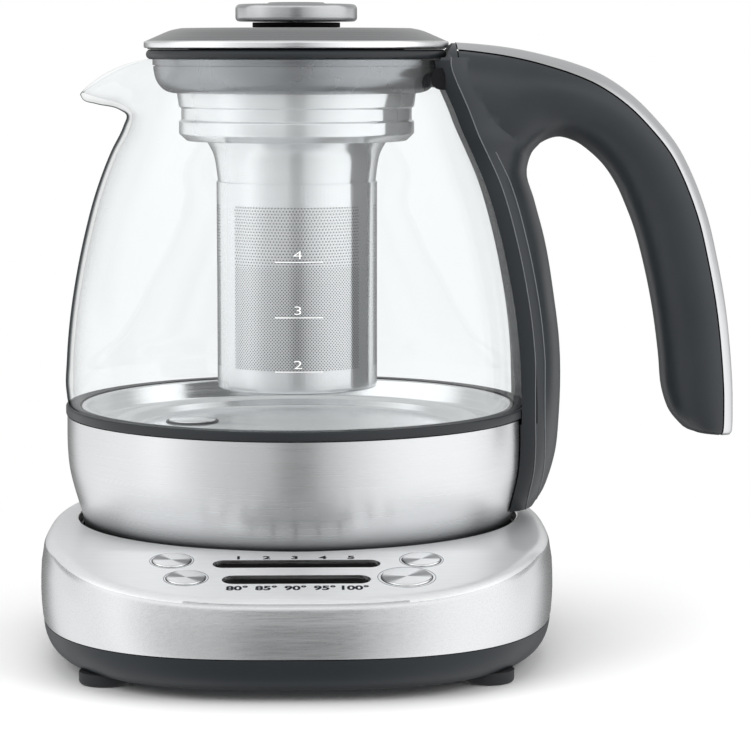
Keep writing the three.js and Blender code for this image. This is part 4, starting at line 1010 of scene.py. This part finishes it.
def wall_points(angle, spout_shares, inward):
    """One side of the glass on one bearing, from its foot up to its rim."""
    share = spout_share(angle)
    height = rim_height - glass_foot
    body = GLASS_SHARES if not inward else GLASS_SHARES[2:]
    points = [(r * glass_radius - inward, glass_foot + height * h) for h, r in body]
    for (neck_rise, neck_reach), (spout_rise, reach) in zip(NECK_SHARES, spout_shares):
        plain = neck_reach * glass_radius - inward
        rise = neck_rise + (spout_rise - neck_rise) * share ** SPOUT_FALL_POWER
        points.append((plain + (reach * SPOUT_REACH - plain) * share,
                       NECK_HEIGHT + (rim_height - NECK_HEIGHT) * rise))
    return smooth_path(points)


def glass_shape():
    columns = []
    for i in range(RING_STEPS):
        angle = math.tau * i / RING_STEPS
        outer = wall_points(angle, SPOUT_SHARES, 0)
        inner = wall_points(angle, SPOUT_INNER_SHARES, GLASS_WALL)
        a, b = Vector(outer[-1]), Vector(inner[-1])
        across = (b - a) / 2
        up = Vector((across.y, -across.x)) * RIM_BULGE
        turns = [math.pi * k / RIM_STEPS for k in range(1, RIM_STEPS)]
        rim = [tuple((a + b) / 2 - across * math.cos(turn) + up * math.sin(turn)) for turn in turns]
        outline = outer + rim + inner[::-1]
        columns.append([(r * math.cos(angle), r * math.sin(angle), z) for r, z in outline])
    return skin([list(ring) for ring in zip(*columns)], closed=True)


def add_glass():
    wall = add("jug_glass_wall", glass_shape(), "jug", "jug_glass", replaces=["jug_glass"], sharp=GLASS_SHARP)
    wall.data.materials.append(inner_glass)
    outer_rows = len(wall_points(0, SPOUT_SHARES, 0)) + RIM_STEPS - 1
    for face in wall.data.polygons:
        face.material_index = 1 if face.index >= outer_rows * RING_STEPS else 0


def add_band():
    wall, hem, first_inner = 1.2, 4.6, 4
    foot = band_outline[0][0]
    outer = band_outline + [(band_radius, top_of("jug_band") + BAND_RISE)]
    inner = [(r - wall, z) for r, z in outer[first_inner:]]
    outline = outer + inner[::-1] + [(foot - wall, seat_height + wall), (foot - hem, seat_height + wall),
                                     (foot - hem, seat_height)]
    add("jug_band_turned", lathe(outline), "jug", "band_steel", replaces=["jug_band"])


def add_trim_gasket():
    inside, glass_gap, slant = 72.7, 0.6, 3
    low, high = foot_of("trim_gasket") + BAND_RISE, top_of("trim_gasket")
    lip = radius_at(glass_outline, high) + SEAT_GAP
    outline = [(inside, low), (GASKET_RADIUS, low, EDGE), (GASKET_RADIUS, high, SOFT), (lip, high, HAIR),
               (glass_outline[0][0] + glass_gap, low + slant), (inside, low + slant)]
    turn_piece("trim_gasket_turned", outline, "jug", "dark_rubber", "trim_gasket")


def add_plate():
    floor = seat_height + PLATE_HEIGHT
    outline = [(radius, floor + rise, *corner) for radius, rise, *corner in PLATE_PROFILE]
    plate = make_object("heater_plate_turned", lathe(rounded(outline)))
    pose = over("temperature_sensor", floor)
    stem, stem_foot, cap, seat, top = 4.2, -9.2, 8, 0.2, 0.9
    combine(plate, "DIFFERENCE", rod_tool(stem + SEAT_GAP), pose)
    dress(plate, "jug", "plate_steel", replaces=["heater_plate"])
    outline = [(0, stem_foot), (stem, stem_foot), (stem, seat), (cap, seat), (cap, top, FINE), (0, top)]
    turn_piece("temperature_sensor_cap", outline, "jug", "plate_steel", "temperature_sensor", SMALL_STEPS,
               pose=pose)
    ring, ring_end, ring_foot, ring_top, edge = 8.1, 9, 0.05, 0.5, 0.2
    outline = [(ring, ring_foot), (ring_end, ring_foot), (ring_end, ring_top, edge), (ring, ring_top, edge)]
    turn_piece("sensor_seal", outline, "jug", "dark_rubber", None, SMALL_STEPS, pose=pose)


def add_jug_cover():
    cup, wall, band_gap, foot_rise, hem_rise, roof_rise = 29.9, 1.5, 1.7, 1.5, 3.5, 14.5
    foot, hem, top = [seat_height + rise for rise in (foot_rise, hem_rise, roof_rise)]
    outer = band_outline[0][0] - band_gap
    outline = [(0, top), (cup, top, FULL), (cup, foot, SOFT), (outer, foot, EASED), (outer, hem),
               (cup + wall, hem),
               (cup + wall, top + wall), (0, top + wall)]
    turn_piece("jug_base_cover_turned", outline, "jug", "tray_plastic", "jug_base_cover")


def add_jug_connector():
    bore, inside, outside, height, roof = 3.2, 20.5, 29.4, 14.2, 1.6
    top = seat_height + height
    outline = [(inside, seat_height, EDGE), (outside, seat_height, SOFT), (outside, top), (bore, top),
               (bore, top - roof), (inside, top - roof, EDGE)]
    turn_piece("jug_connector_turned", outline, "jug_lift", "black_plastic", "jug_connector", SMALL_STEPS * 2)
    low, high, pin = foot_of("connector_pin"), top_of("connector_pin"), 2.9
    outline = [(0, low), (pin, low, SOFT), (pin, high), (0, high)]
    turn_piece("connector_pin_turned", outline, "jug_lift", "brass", "connector_pin", SMALL_STEPS)


def on_glass(across, height, lift=MARK_GAP):
    """A place on the front of the glass, by its distance across and its height."""
    radius = radius_at(glass_outline, height) + lift
    return Vector((radius * math.sin(across / radius), -radius * math.cos(across / radius), height))


def add_marks():
    half, thick, depth, steps, line_offset = 7.4, 0.11, 0.03, 24, 0.9
    digit, digit_rise, digit_offset, stretch, weight = 2.7, 2.05, 0.6, 1.65, -0.013
    for text, height in LEVELS:
        rings = []
        for k in range(steps + 1):
            across = half * (k * 2 / steps - 1) + line_offset
            corners = ((-thick, 0), (thick, 0), (thick, depth), (-thick, depth))
            rings.append([on_glass(across, height + up, MARK_GAP + out) for up, out in corners])
        add(f"level_line_{text}", skin(rings), "jug", "jug_glass", finish=mark_finish)

        def wrap(place, middle=height + digit_rise):
            return on_glass(place.x / MM + digit_offset, middle + place.y / MM, MARK_GAP + place.z / MM) * MM

        add_text(f"level_mark_{text}", text, digit, Matrix(), mark_finish, "jug", "jug_glass", wrap, stretch,
                 weight)


def add_jug():
    add_glass()
    add_band()
    add_trim_gasket()
    add_plate()
    add_jug_cover()
    add_jug_connector()
    add_marks()


# Handle
def envelope(clearance, lid_clearance):
    """A solid that fills the jug's outside, grown by a clearance."""
    gasket, lid = GASKET_RADIUS + clearance, radius_of("lid_cover") + lid_clearance
    floor, roof = seat_height - FLOOR_OVERRUN, seat_height + HANDLE_TOP + ROOF_OVERRUN
    outline = [(0, floor), (band_outline[0][0] + clearance, floor)]
    outline += [(r + clearance, z) for r, z in band_outline]
    outline += [(gasket, top_of("jug_band") + STEP), (gasket, glass_foot + GASKET_STEP)]
    outline += [(r + clearance, z) for r, z in glass_outline if z > glass_foot + GASKET_REACH]
    outline += [(lid, rim_height + STEP), (lid, roof), (0, roof)]
    return lathe(outline)


def grip_ring(station, cut_depth, for_inlay=False, inset=0.0):
    out_x, out_z, in_x, in_z, width = station
    outer = Vector((out_x * HANDLE_REACH, 0, seat_height + out_z * HANDLE_TOP))
    inner = Vector((in_x * HANDLE_REACH, 0, seat_height + in_z * HANDLE_TOP))
    middle, half = (outer + inner) / 2, (outer - inner).length / 2 - inset
    outward = (outer - inner).normalized()
    depth = min(cut_depth, half)
    turn = math.acos(((half - depth) / half) ** (1 / SECTION_POWER))
    start, sweep = (-turn, turn * 2) if for_inlay else (turn, (math.pi - turn) * 2)
    ring = []
    for k in range(SECTION_STEPS + 1):
        angle = start + sweep * k / SECTION_STEPS
        c, s = math.cos(angle), math.sin(angle)
        place = middle + outward * (math.copysign(abs(c) ** SECTION_POWER, c) * half)
        place.y = math.copysign(abs(s) ** SECTION_POWER, s) * (HANDLE_HALF_WIDTH * width - inset)
        ring.append(tuple(place))
    return ring


def jug_radius(height):
    """The jug's outside where the handle lies against it."""
    if height > glass_foot + GASKET_REACH:
        return radius_at(glass_outline, height)
    return radius_at(band_outline, min(height, seat_height + band_height))


def arm_section(stretch):
    """Height, half-width, back and free reach of the arm for one row of its smooth table."""
    height_share, reach, width = stretch
    height = seat_height + height_share * HANDLE_TOP
    half_width = width * ARM_HALF_WIDTH
    back = math.sqrt(jug_radius(height) ** 2 - half_width ** 2) - ARM_OVERLAP
    return height, half_width, back, reach * HANDLE_REACH


arm_stretch = smooth_path(ARM_SHARES, PATH_STEPS)


def arm_shape():
    rings = []
    for row in arm_stretch:
        height, half_width, back, reach = arm_section(row)
        ring = []
        for k in range(SECTION_STEPS + 1):
            angle = -math.pi / 2 + math.pi * k / SECTION_STEPS
            ring.append((back + (reach - back) * math.cos(angle), math.sin(angle) * half_width, height))
        rings.append(ring)
    return skin(rings)


def seam_path(side, distance, first, last):
    """Points down the arm's flank, at one distance from the jug's wall."""
    points = []
    for row in arm_stretch:
        if not first <= row[0] <= last:
            continue
        height, half_width, back, reach = arm_section(row)
        wanted = jug_radius(height) + distance

        def flank(turn):
            return back + (reach - back) * math.cos(turn), math.sin(turn) * half_width

        turn = last_before(0.0, math.pi / 2, lambda turn: math.hypot(*flank(turn)) <= wanted)
        x, y = flank(turn)
        points.append((x, side * y, height))
    return points


def tube_along(points, radius, steps=8):
    rings = []
    for i, point in enumerate(points):
        ahead = Vector(points[min(i + 1, len(points) - 1)]) - Vector(points[max(i - 1, 0)])
        side = ahead.cross(Vector((0, 1, 0))).normalized()
        other = ahead.cross(side).normalized()
        rings.append([tuple(Vector(point) + (side * math.cos(math.tau * k / steps)
                                             + other * math.sin(math.tau * k / steps)) * radius)
                      for k in range(steps)])
    return skin(rings)


def inlay_depth(station):
    """The inlay's thickness, less over the head of the handle."""
    start, end = THIN_STRETCH
    share = min(max((station[0] - start) / (end - start), 0), 1)
    return INLAY_DEPTH - INLAY_THINNING * (1 - share)


def add_shell(stations):
    rings = [grip_ring(row, inlay_depth(row) + SEAT_GAP) for row in stations]
    shell = make_object("handle_shell_moulded", skin(rings))
    combine(shell, "UNION", skin([grip_ring(row, SEAT_GAP) for row in smooth_path(HEAD_SHARES, 4)]))
    combine(shell, "UNION", arm_shape())
    combine(shell, "DIFFERENCE", envelope(SADDLE_THICKNESS + SEAT_GAP, LID_CLEARANCE))
    dress(shell, "jug", "handle_plastic", replaces=["handle_shell"])


def add_saddle():
    saddle = make_object("handle_saddle_moulded", arm_shape())
    combine(saddle, "INTERSECT", envelope(SADDLE_THICKNESS, 0))
    combine(saddle, "DIFFERENCE", envelope(SEAT_GAP, LID_CLEARANCE))
    dress(saddle, "jug", "handle_plastic", finish=saddle_finish, replaces=["handle_saddle"])


def add_inlay(stations):
    groove, clearance = 0.45, 0.5
    rings = [grip_ring(row, inlay_depth(row) - groove / 2, True) for row in stations]
    inlay = make_object("handle_inlay_strip", skin(rings))
    combine(inlay, "DIFFERENCE", envelope(clearance, clearance))
    dress(inlay, "jug", "inlay_steel", replaces=["handle_inlay"])
    # A near-black strip under the inlay's edges: painted shadow of the groove between inlay and shell.
    rings = [grip_ring(row, inlay_depth(row) + groove * 2, True, groove) for row in stations[1:-1]]
    add("handle_inlay_groove_shadow", skin(rings), "jug", "handle_plastic", finish=painted_shadow_finish)


def clip_shape(side):
    """A rounded tab of the saddle that holds the neck of the glass, under the bead."""
    end, length, end_power, inner_lift, outer_lift = 48.3, 5, 0.6, 0.35, 2.2
    middle, half = (CLIP_FOOT + CLIP_TOP) / 2, (CLIP_TOP - CLIP_FOOT) / 2
    rings = []
    for lift in (inner_lift, outer_lift):
        ring = []
        for k in range(CLIP_STEPS + 1):
            turn = math.pi * k / CLIP_STEPS
            across = end - length * math.sin(turn) ** end_power
            height = middle + half * math.cos(turn)
            radius = jug_radius(height) + lift
            ring.append((across, side * math.sqrt(radius ** 2 - across ** 2), height))
        rings.append(ring)
    return skin(rings)


def add_handle():
    stations = smooth_path(GRIP_SHARES, PATH_STEPS)
    add_shell(stations)
    add_saddle()
    add_inlay(stations)
    for side, tag in ((-1, "front"), (1, "back")):
        for line, distance, first, last in SEAMS:
            # Each seam is a thin tube lighter than the handle: a painted highlight along its edge.
            seam = tube_along(seam_path(side, distance, first, last), SEAM_RADIUS)
            add(f"handle_seam_{tag}_{line}", seam, "jug", "handle_plastic", finish=seam_highlight_finish)
        # The clip tabs take the near-black painted shadow as their colour, for the shade under the bead.
        add(f"handle_clip_{tag}", clip_shape(side), "jug", "handle_plastic", finish=painted_shadow_finish)


# Basket
collar_top = seat_height + COLLAR_TOP
collar_foot = collar_top - COLLAR_HEIGHT
tube_seam = collar_foot - NECK_RISE
tube_radius = radius_of("basket_tube")
tube_foot = foot_of("basket_tube")


def mesh_zone(points, faces, centre, half_angle, low, high, columns, rows, hole, sides=8):
    """Staggered rows of holes in the tube's wall: each cell is a frame round its hole."""
    width, height = half_angle * 2 / columns, (high - low) / rows

    def put(angle, z):
        points.append((tube_radius * math.sin(angle), -tube_radius * math.cos(angle), z))
        return len(points) - 1

    for row in range(rows):
        bottom, shifted = low + row * height, row % 2
        start, end = centre - half_angle, centre + half_angle
        if shifted:
            wall_patch(points, faces, start, start + width / 2, bottom, bottom + height, 1)
            wall_patch(points, faces, end - width / 2, end, bottom, bottom + height, 1)
        for column in range(columns - shifted):
            half = width / 2
            middle = start + (column + shifted / 2) * width + half
            outer, inner = [], []
            for k in range(sides):
                turn = math.tau * k / sides
                c, s = math.cos(turn), math.sin(turn)
                stretch = 1 / max(abs(c), abs(s))
                outer.append(put(middle + half * c * stretch, bottom + height / 2 * (1 + s * stretch)))
                inner.append(put(middle + hole / tube_radius * c, bottom + height / 2 + hole * s))
            for k in range(sides):
                after = (k + 1) % sides
                faces.append([outer[k], outer[after], inner[after], inner[k]])


def wall_patch(points, faces, start, end, low, high, columns):
    for column in range(columns):
        corners = []
        for angle, z in ((column, low), (column + 1, low), (column + 1, high), (column, high)):
            turn = start + (end - start) * angle / columns
            corners.append(len(points))
            points.append((tube_radius * math.sin(turn), -tube_radius * math.cos(turn), z))
        faces.append(corners)


def add_tube():
    points, faces = [], []
    low, split, high = MESH_HEIGHTS
    wall_low = tube_foot + TUBE_ROUND
    for i in range(3):
        centre = math.tau * i / 3
        start, end, next_start = centre - MESH_HALF, centre + MESH_HALF, centre + math.tau / 3 - MESH_HALF
        mesh_zone(points, faces, centre, MESH_HALF, low, split, MESH_COLUMNS, *LOWER_MESH)
        mesh_zone(points, faces, centre, MESH_HALF, split, high, MESH_COLUMNS, *UPPER_MESH)
        wall_patch(points, faces, start, end, wall_low, low, WIDE_PATCH)
        wall_patch(points, faces, start, end, high, tube_seam, WIDE_PATCH)
        wall_patch(points, faces, end, next_start, wall_low, tube_seam, NARROW_PATCH)
    hem_width = 3.2
    inside, hem, floor = tube_radius - TUBE_WALL, tube_radius - hem_width, tube_foot + TUBE_WALL
    foot = [(hem, tube_foot), (tube_radius, tube_foot, TUBE_ROUND), (tube_radius, wall_low + STEP),
            (inside, wall_low), (inside, floor), (hem, floor)]
    foot_points, foot_faces = lathe(rounded(foot))
    first = len(points)
    points += foot_points
    faces += [[index + first for index in face] for face in foot_faces]
    add("basket_tube_perforated", (points, faces), "basket", "basket_steel", replaces=["basket_tube"])


def add_hole_shade_sheet():
    # A dark sheet just inside the perforated tube: painted shade of the tube's inside, seen through its
    # holes.
    gap, end_gap, thickness = 0.25, 0.2, 0.65
    outside, inside = tube_radius - gap, tube_radius - gap - thickness
    low, high = tube_foot + TUBE_ROUND, tube_seam - end_gap
    turn_piece("basket_tube_hole_shade", [(outside, low), (outside, high), (inside, high), (inside, low)],
               "basket", "basket_steel", finish=hole_shade_finish)


def add_tube_rim():
    inside, low = tube_radius - TUBE_WALL, tube_seam - SEAT_GAP
    rim = [(tube_radius, tube_seam), (tube_radius, low), (inside, low), (inside, tube_seam)]
    add("basket_tube_rim", lathe(rim), "basket", "basket_steel")


def add_basket_floor():
    lift, radius, thickness = 1.2, 25.5, 0.9
    low, high = tube_foot + lift, tube_foot + lift + thickness
    outline = [(0, low), (radius, low, CRISP), (radius, high, CRISP), (0, high)]
    turn_piece("basket_floor_disc", outline, "basket", "basket_steel", "basket_floor", SMALL_STEPS * 2)


def add_collar():
    neck_overlap, neck_flare = 0.5, 3.3
    neck_foot, neck_end = tube_radius - neck_overlap, tube_radius + neck_flare
    flare = [(neck_foot + (neck_end - neck_foot) * out, tube_seam + NECK_RISE * rise)
             for rise, out in FLARE_SHARES]
    waist, rib, brim, sleeve, wall = 38.2, 0.8, 39.7, 37.2, 1
    brim_rise, sleeve_rise = 0.9, 13
    top, sleeve_top = collar_top + brim_rise, collar_top + sleeve_rise
    ribs = [(waist + rib * out, collar_foot + rise, corner) for out, rise, corner in COLLAR_RIBS]
    shell = [(brim, top, CRISP), (sleeve, top, CRISP), (sleeve, sleeve_top, FINE),
             (sleeve - wall, sleeve_top, FINE),
             (sleeve - wall, collar_foot + wall * 3, FULL), (sleeve - wall * 3, collar_foot + wall, EASED),
             (neck_end - wall, collar_foot + wall, EDGE)]
    inner = [(r - wall, z) for r, z in flare[:-1]][::-1]
    outline = smooth_path(flare, 4) + rounded(ribs + shell) + inner
    add("basket_collar_turned", lathe(outline), "basket", "basket_steel", replaces=["basket_collar"],
        sharp=RIB_SHARP)


def add_skirt():
    foot, inside, radius = foot_of("basket_gasket"), 37.5, 47.3
    bead, bead_foot, bead_top = radius_of("basket_gasket"), rim_height + SEAT_GAP, top_of("basket_gasket")
    skirt = smooth_path([(radius * out, foot + (bead_foot - foot) * rise) for rise, out in SKIRT_SHARES], 4)
    line_drop, line_depth, line_width, floor_width, overhang = 1.9, 0.6, 0.3, 0.25, 0.25
    line = bead_foot - line_drop
    lip = [(radius, line - line_width), (radius - line_depth, line - floor_width),
           (radius - line_depth, line), (radius + overhang, line), (radius + overhang, bead_foot)]
    seat, seat_wall, foot_round, top_round = 39.9, 1.1, 1.7, 1.6
    recess = foot + seat_wall
    cap = [(inside, bead_foot), (inside, recess), (seat, recess), (seat, foot)]
    add("basket_gasket_skirt", lathe(skirt + lip + cap), "basket", "silicone", replaces=["basket_gasket"],
        sharp=SKIRT_SHARP)
    bead_foot += SKIRT_GAP
    outline = [(inside, bead_foot), (bead, bead_foot, foot_round), (bead, bead_top, top_round),
               (inside, bead_top, CRISP)]
    turn_piece("basket_gasket_bead", outline, "basket", "dark_rubber")


def add_basket():
    add_tube()
    add_hole_shade_sheet()
    add_tube_rim()
    add_basket_floor()
    add_collar()
    add_skirt()


# Lid
def add_lid_cover():
    foot, top, edge = foot_of("lid_cover"), top_of("lid_cover"), radius_of("lid_cover")
    plateau, fall, wall, lip, lip_rise, middle, middle_drop = 38.2, 6.5, 1.4, 2.6, 2.3, 46, 4.1
    slope = smooth_path([(plateau + (edge - plateau) * out, top - fall * down)
                         for out, down in LID_SHARES], PATH_STEPS)
    lip_round, strip_depth, strip_overrun = 0.7, 0.75, 0.05
    rim = rounded([(edge, foot + lip_rise, lip_round), (edge, foot, EASED), (edge - lip, foot, FINE),
                   (edge - lip, foot + wall), (middle, top - middle_drop), (plateau, top - wall),
                   (LID_BORE, top - wall), (LID_BORE, top)])
    cover = add("lid_cover_turned", lathe(slope + rim), "lid", "lid_steel", replaces=["lid_cover"],
                sharp=RIB_SHARP)
    cover.data.materials.append(rim_finish)
    strip_top = foot + lip_rise + strip_overrun
    for face in cover.data.polygons:
        place = face.center / MM
        if place.xy.length > edge - strip_depth and place.z < strip_top:
            face.material_index = 1


def add_lid_pad():
    inside, edge_gap, foot_gap, top_gap = 45, 1.2, 0.05, 0.02
    outside = radius_of("lid_cover") - edge_gap
    low, high = top_of("basket_gasket") + foot_gap, foot_of("lid_cover") - top_gap
    outline = [(inside, low), (outside, low, HAIR), (outside, high), (inside, high)]
    # The pad takes the near-black painted shadow, for the shade of the gap under the lid.
    turn_piece("lid_edge_pad", outline, "lid", "dark_rubber", finish=painted_shadow_finish)


def add_lid_insert():
    top, side, depth, wall = top_of("lid_insert"), 35.6, 15, 1.6
    outline = [(LID_BORE, top), (side, top, FINE), (side, top - depth, EASED),
               (side - wall, top - depth, EASED),
               (side - wall, top - wall), (LID_BORE, top - wall)]
    turn_piece("lid_insert_moulded", outline, "lid", "tray_plastic", "lid_insert")


def add_lid_seal():
    foot, inside, outside, height = foot_of("lid_seal"), 38.2, 46.6, 1.8
    outline = [(inside, foot), (outside, foot, EDGE), (outside, foot + height, SOFT), (inside, foot + height)]
    turn_piece("lid_seal_moulded", outline, "lid", "silicone", "lid_seal")


def add_knob():
    low, high, neck, edge = foot_of("knob_neck"), top_of("knob_neck") - CAP_DROP, 14.5, 0.2
    outline = [(LID_BORE, low), (neck, low, edge), (neck, high, edge), (LID_BORE, high)]
    # The neck takes the near-black painted shadow, for the shade under the knob's cap.
    turn_piece("knob_neck_moulded", outline, "lid", "handle_plastic", "knob_neck", SMALL_STEPS * 2,
               finish=painted_shadow_finish)
    low, high, side = foot_of("knob_cap") - CAP_DROP, top_of("knob_cap"), radius_of("knob_cap")
    bore, bore_depth, step, crown, crown_foot, foot_round, top_round = 1.9, 3.1, 0.6, 9, 10, 1.3, 1.5
    outline = [(0, low + bore_depth), (bore, low + bore_depth), (bore, low), (side, low, foot_round),
               (side, high - step, top_round), (crown_foot, high - step, FINE), (crown, high, EASED),
               (0, high)]
    turn_piece("knob_cap_turned", outline, "lid", "lid_steel", "knob_cap", corners=KNOB_STEPS,
               finish=knob_finish)


def add_lid():
    add_lid_cover()
    add_lid_pad()
    add_lid_insert()
    add_lid_seal()
    add_knob()


# Carried-over pieces take their finish from their slot
def finish_carried():
    for part in frame["record"]["subparts"]:
        node = frame["nodes"][part["node"]]
        for place in node.material_slots:
            place.material = finishes[part["material_slot"]]


# Floor, light and camera
FLOOR_HALF = 4000
FLOOR_COLOUR = (0.93, 0.93, 0.93)
FLOOR_ROUGHNESS = 0.9
FLOOR_FADE = (0.12, 0.3)


def add_floor():
    corners = [(x * FLOOR_HALF, y * FLOOR_HALF, 0) for x, y in ((-1, -1), (1, -1), (1, 1), (-1, 1))]
    floor = make_object("floor", (corners, [[0, 1, 2, 3]]))
    made = Finish("pale_floor", FLOOR_COLOUR, FLOOR_ROUGHNESS)
    away = made.reach(made.node("NewGeometry").outputs["Position"])
    path = made.node("LightPath").outputs
    seen = made.math("MAXIMUM", path["Is Camera Ray"], path["Is Transmission Ray"])
    share = made.math("MULTIPLY", made.spread(away, *FLOOR_FADE), seen)
    mix = made.mix(share, made.shader, made.node("Emission"))
    made.feed(made.output, {"Surface": mix.outputs["Shader"]})
    floor.data.materials.append(made.material)
    floor.visible_glossy = False


# Brightness of the studio seen in low reflections, by bearing in degrees from the camera's side
STUDIO = [
    (-180, 0.12), (-154, 0.3), (-140, 1.05), (-120, 1.2), (-92, 1.2), (-72, 1.36), (-60, 1.15), (-46, 0.86),
    (-30, 0.72), (-13, 0.62), (-7, 0.36), (0, 0.28), (7, 0.36), (13, 0.64), (29, 0.98), (44, 1.24),
    (62, 1.36), (90, 1.36), (112, 1.25), (132, 1.1), (152, 0.3), (180, 0.12),
]

# Brightness for diffuse light, and of the sky in front, behind and overhead. The rises over which each takes
# over are heights of a direction of length one, and BEHIND is how far back such a direction has to point.
AMBIENT = 0.62
FRONT_SKY = 1.5
BACK_SKY = 0.6
TOP_SKY = 0.6
SKY_FALL = (0.6, 0.88)
FRONT_RISE = (0.22, 0.5)
BACK_RISE = (0.0, 0.09)
BEHIND = (0.1, 0.45)


def add_world():
    world = bpy.data.worlds.new("studio")
    bpy.context.scene.world = world
    world.use_nodes = True
    made = Graph(world.node_tree)
    axes = made.axes("Generated")
    bearing = made.math("ARCTAN2", axes["X"], made.math("MULTIPLY", axes["Y"], -1))
    around = made.spread(bearing, -math.pi, math.pi, kind="LINEAR")
    low = made.ramp(around, [(degrees / 360 + 0.5, strength) for degrees, strength in STUDIO])
    rise, behind = axes["Z"], made.spread(axes["Y"], *BEHIND)
    sky = made.blend(made.spread(rise, *SKY_FALL), made.blend(behind, FRONT_SKY, BACK_SKY), TOP_SKY)
    above = made.blend(behind, made.spread(rise, *FRONT_RISE), made.spread(rise, *BACK_RISE))
    path = made.node("LightPath").outputs
    glossy = made.math("MINIMUM", path["Glossy Depth"], 1)
    diffuse = made.math("MINIMUM", path["Diffuse Depth"], 1)
    seen = made.blend(glossy, 1, made.blend(above, low, sky))
    made.feed(world.node_tree.nodes["Background"],
              {"Color": (1, 1, 1, 1), "Strength": made.blend(diffuse, seen, AMBIENT)})


LAMPS = [
    ("left_softbox", (-900, -700, 900), 0.9, 7),
    ("right_softbox", (1000, -600, 800), 0.9, 7),
    ("top_softbox", (0, 200, 1300), 1.1, 7),
]
LAMP_TARGET = (0, 0, 100)


def add_lamps():
    for name, place, size, power in LAMPS:
        data = bpy.data.lights.new(name, "AREA")
        data.shape = "SQUARE"
        data.size = size
        data.energy = power
        lamp = bpy.data.objects.new(name, data)
        bpy.context.collection.objects.link(lamp)
        lamp.location = Vector(place) * MM
        lamp.rotation_euler = (Vector(LAMP_TARGET) * MM - lamp.location).to_track_quat("-Z", "Y").to_euler()
        lamp.visible_glossy = False


def add_camera():
    data = bpy.data.cameras.new("camera")
    data.sensor_width = SENSOR_WIDTH
    data.lens = SENSOR_WIDTH * FOCAL_PIXELS / PHOTO_SIZE
    camera = bpy.data.objects.new("camera", data)
    bpy.context.collection.objects.link(camera)
    camera.location = jug_axis + Vector(CAMERA_PLACE) * MM
    camera.rotation_euler = (math.pi / 2 - math.atan(HORIZON_PIXELS / FOCAL_PIXELS), 0,
                             -math.atan(SIDEWAYS_PIXELS / FOCAL_PIXELS))
    bpy.context.scene.camera = camera


add_base()
add_windows()
add_buttons()
add_panel_marks()
add_jug()
add_handle()
add_basket()
add_lid()
finish_carried()
add_floor()
add_world()
add_lamps()
add_camera()
bpy.context.scene.view_settings.view_transform = "Standard"
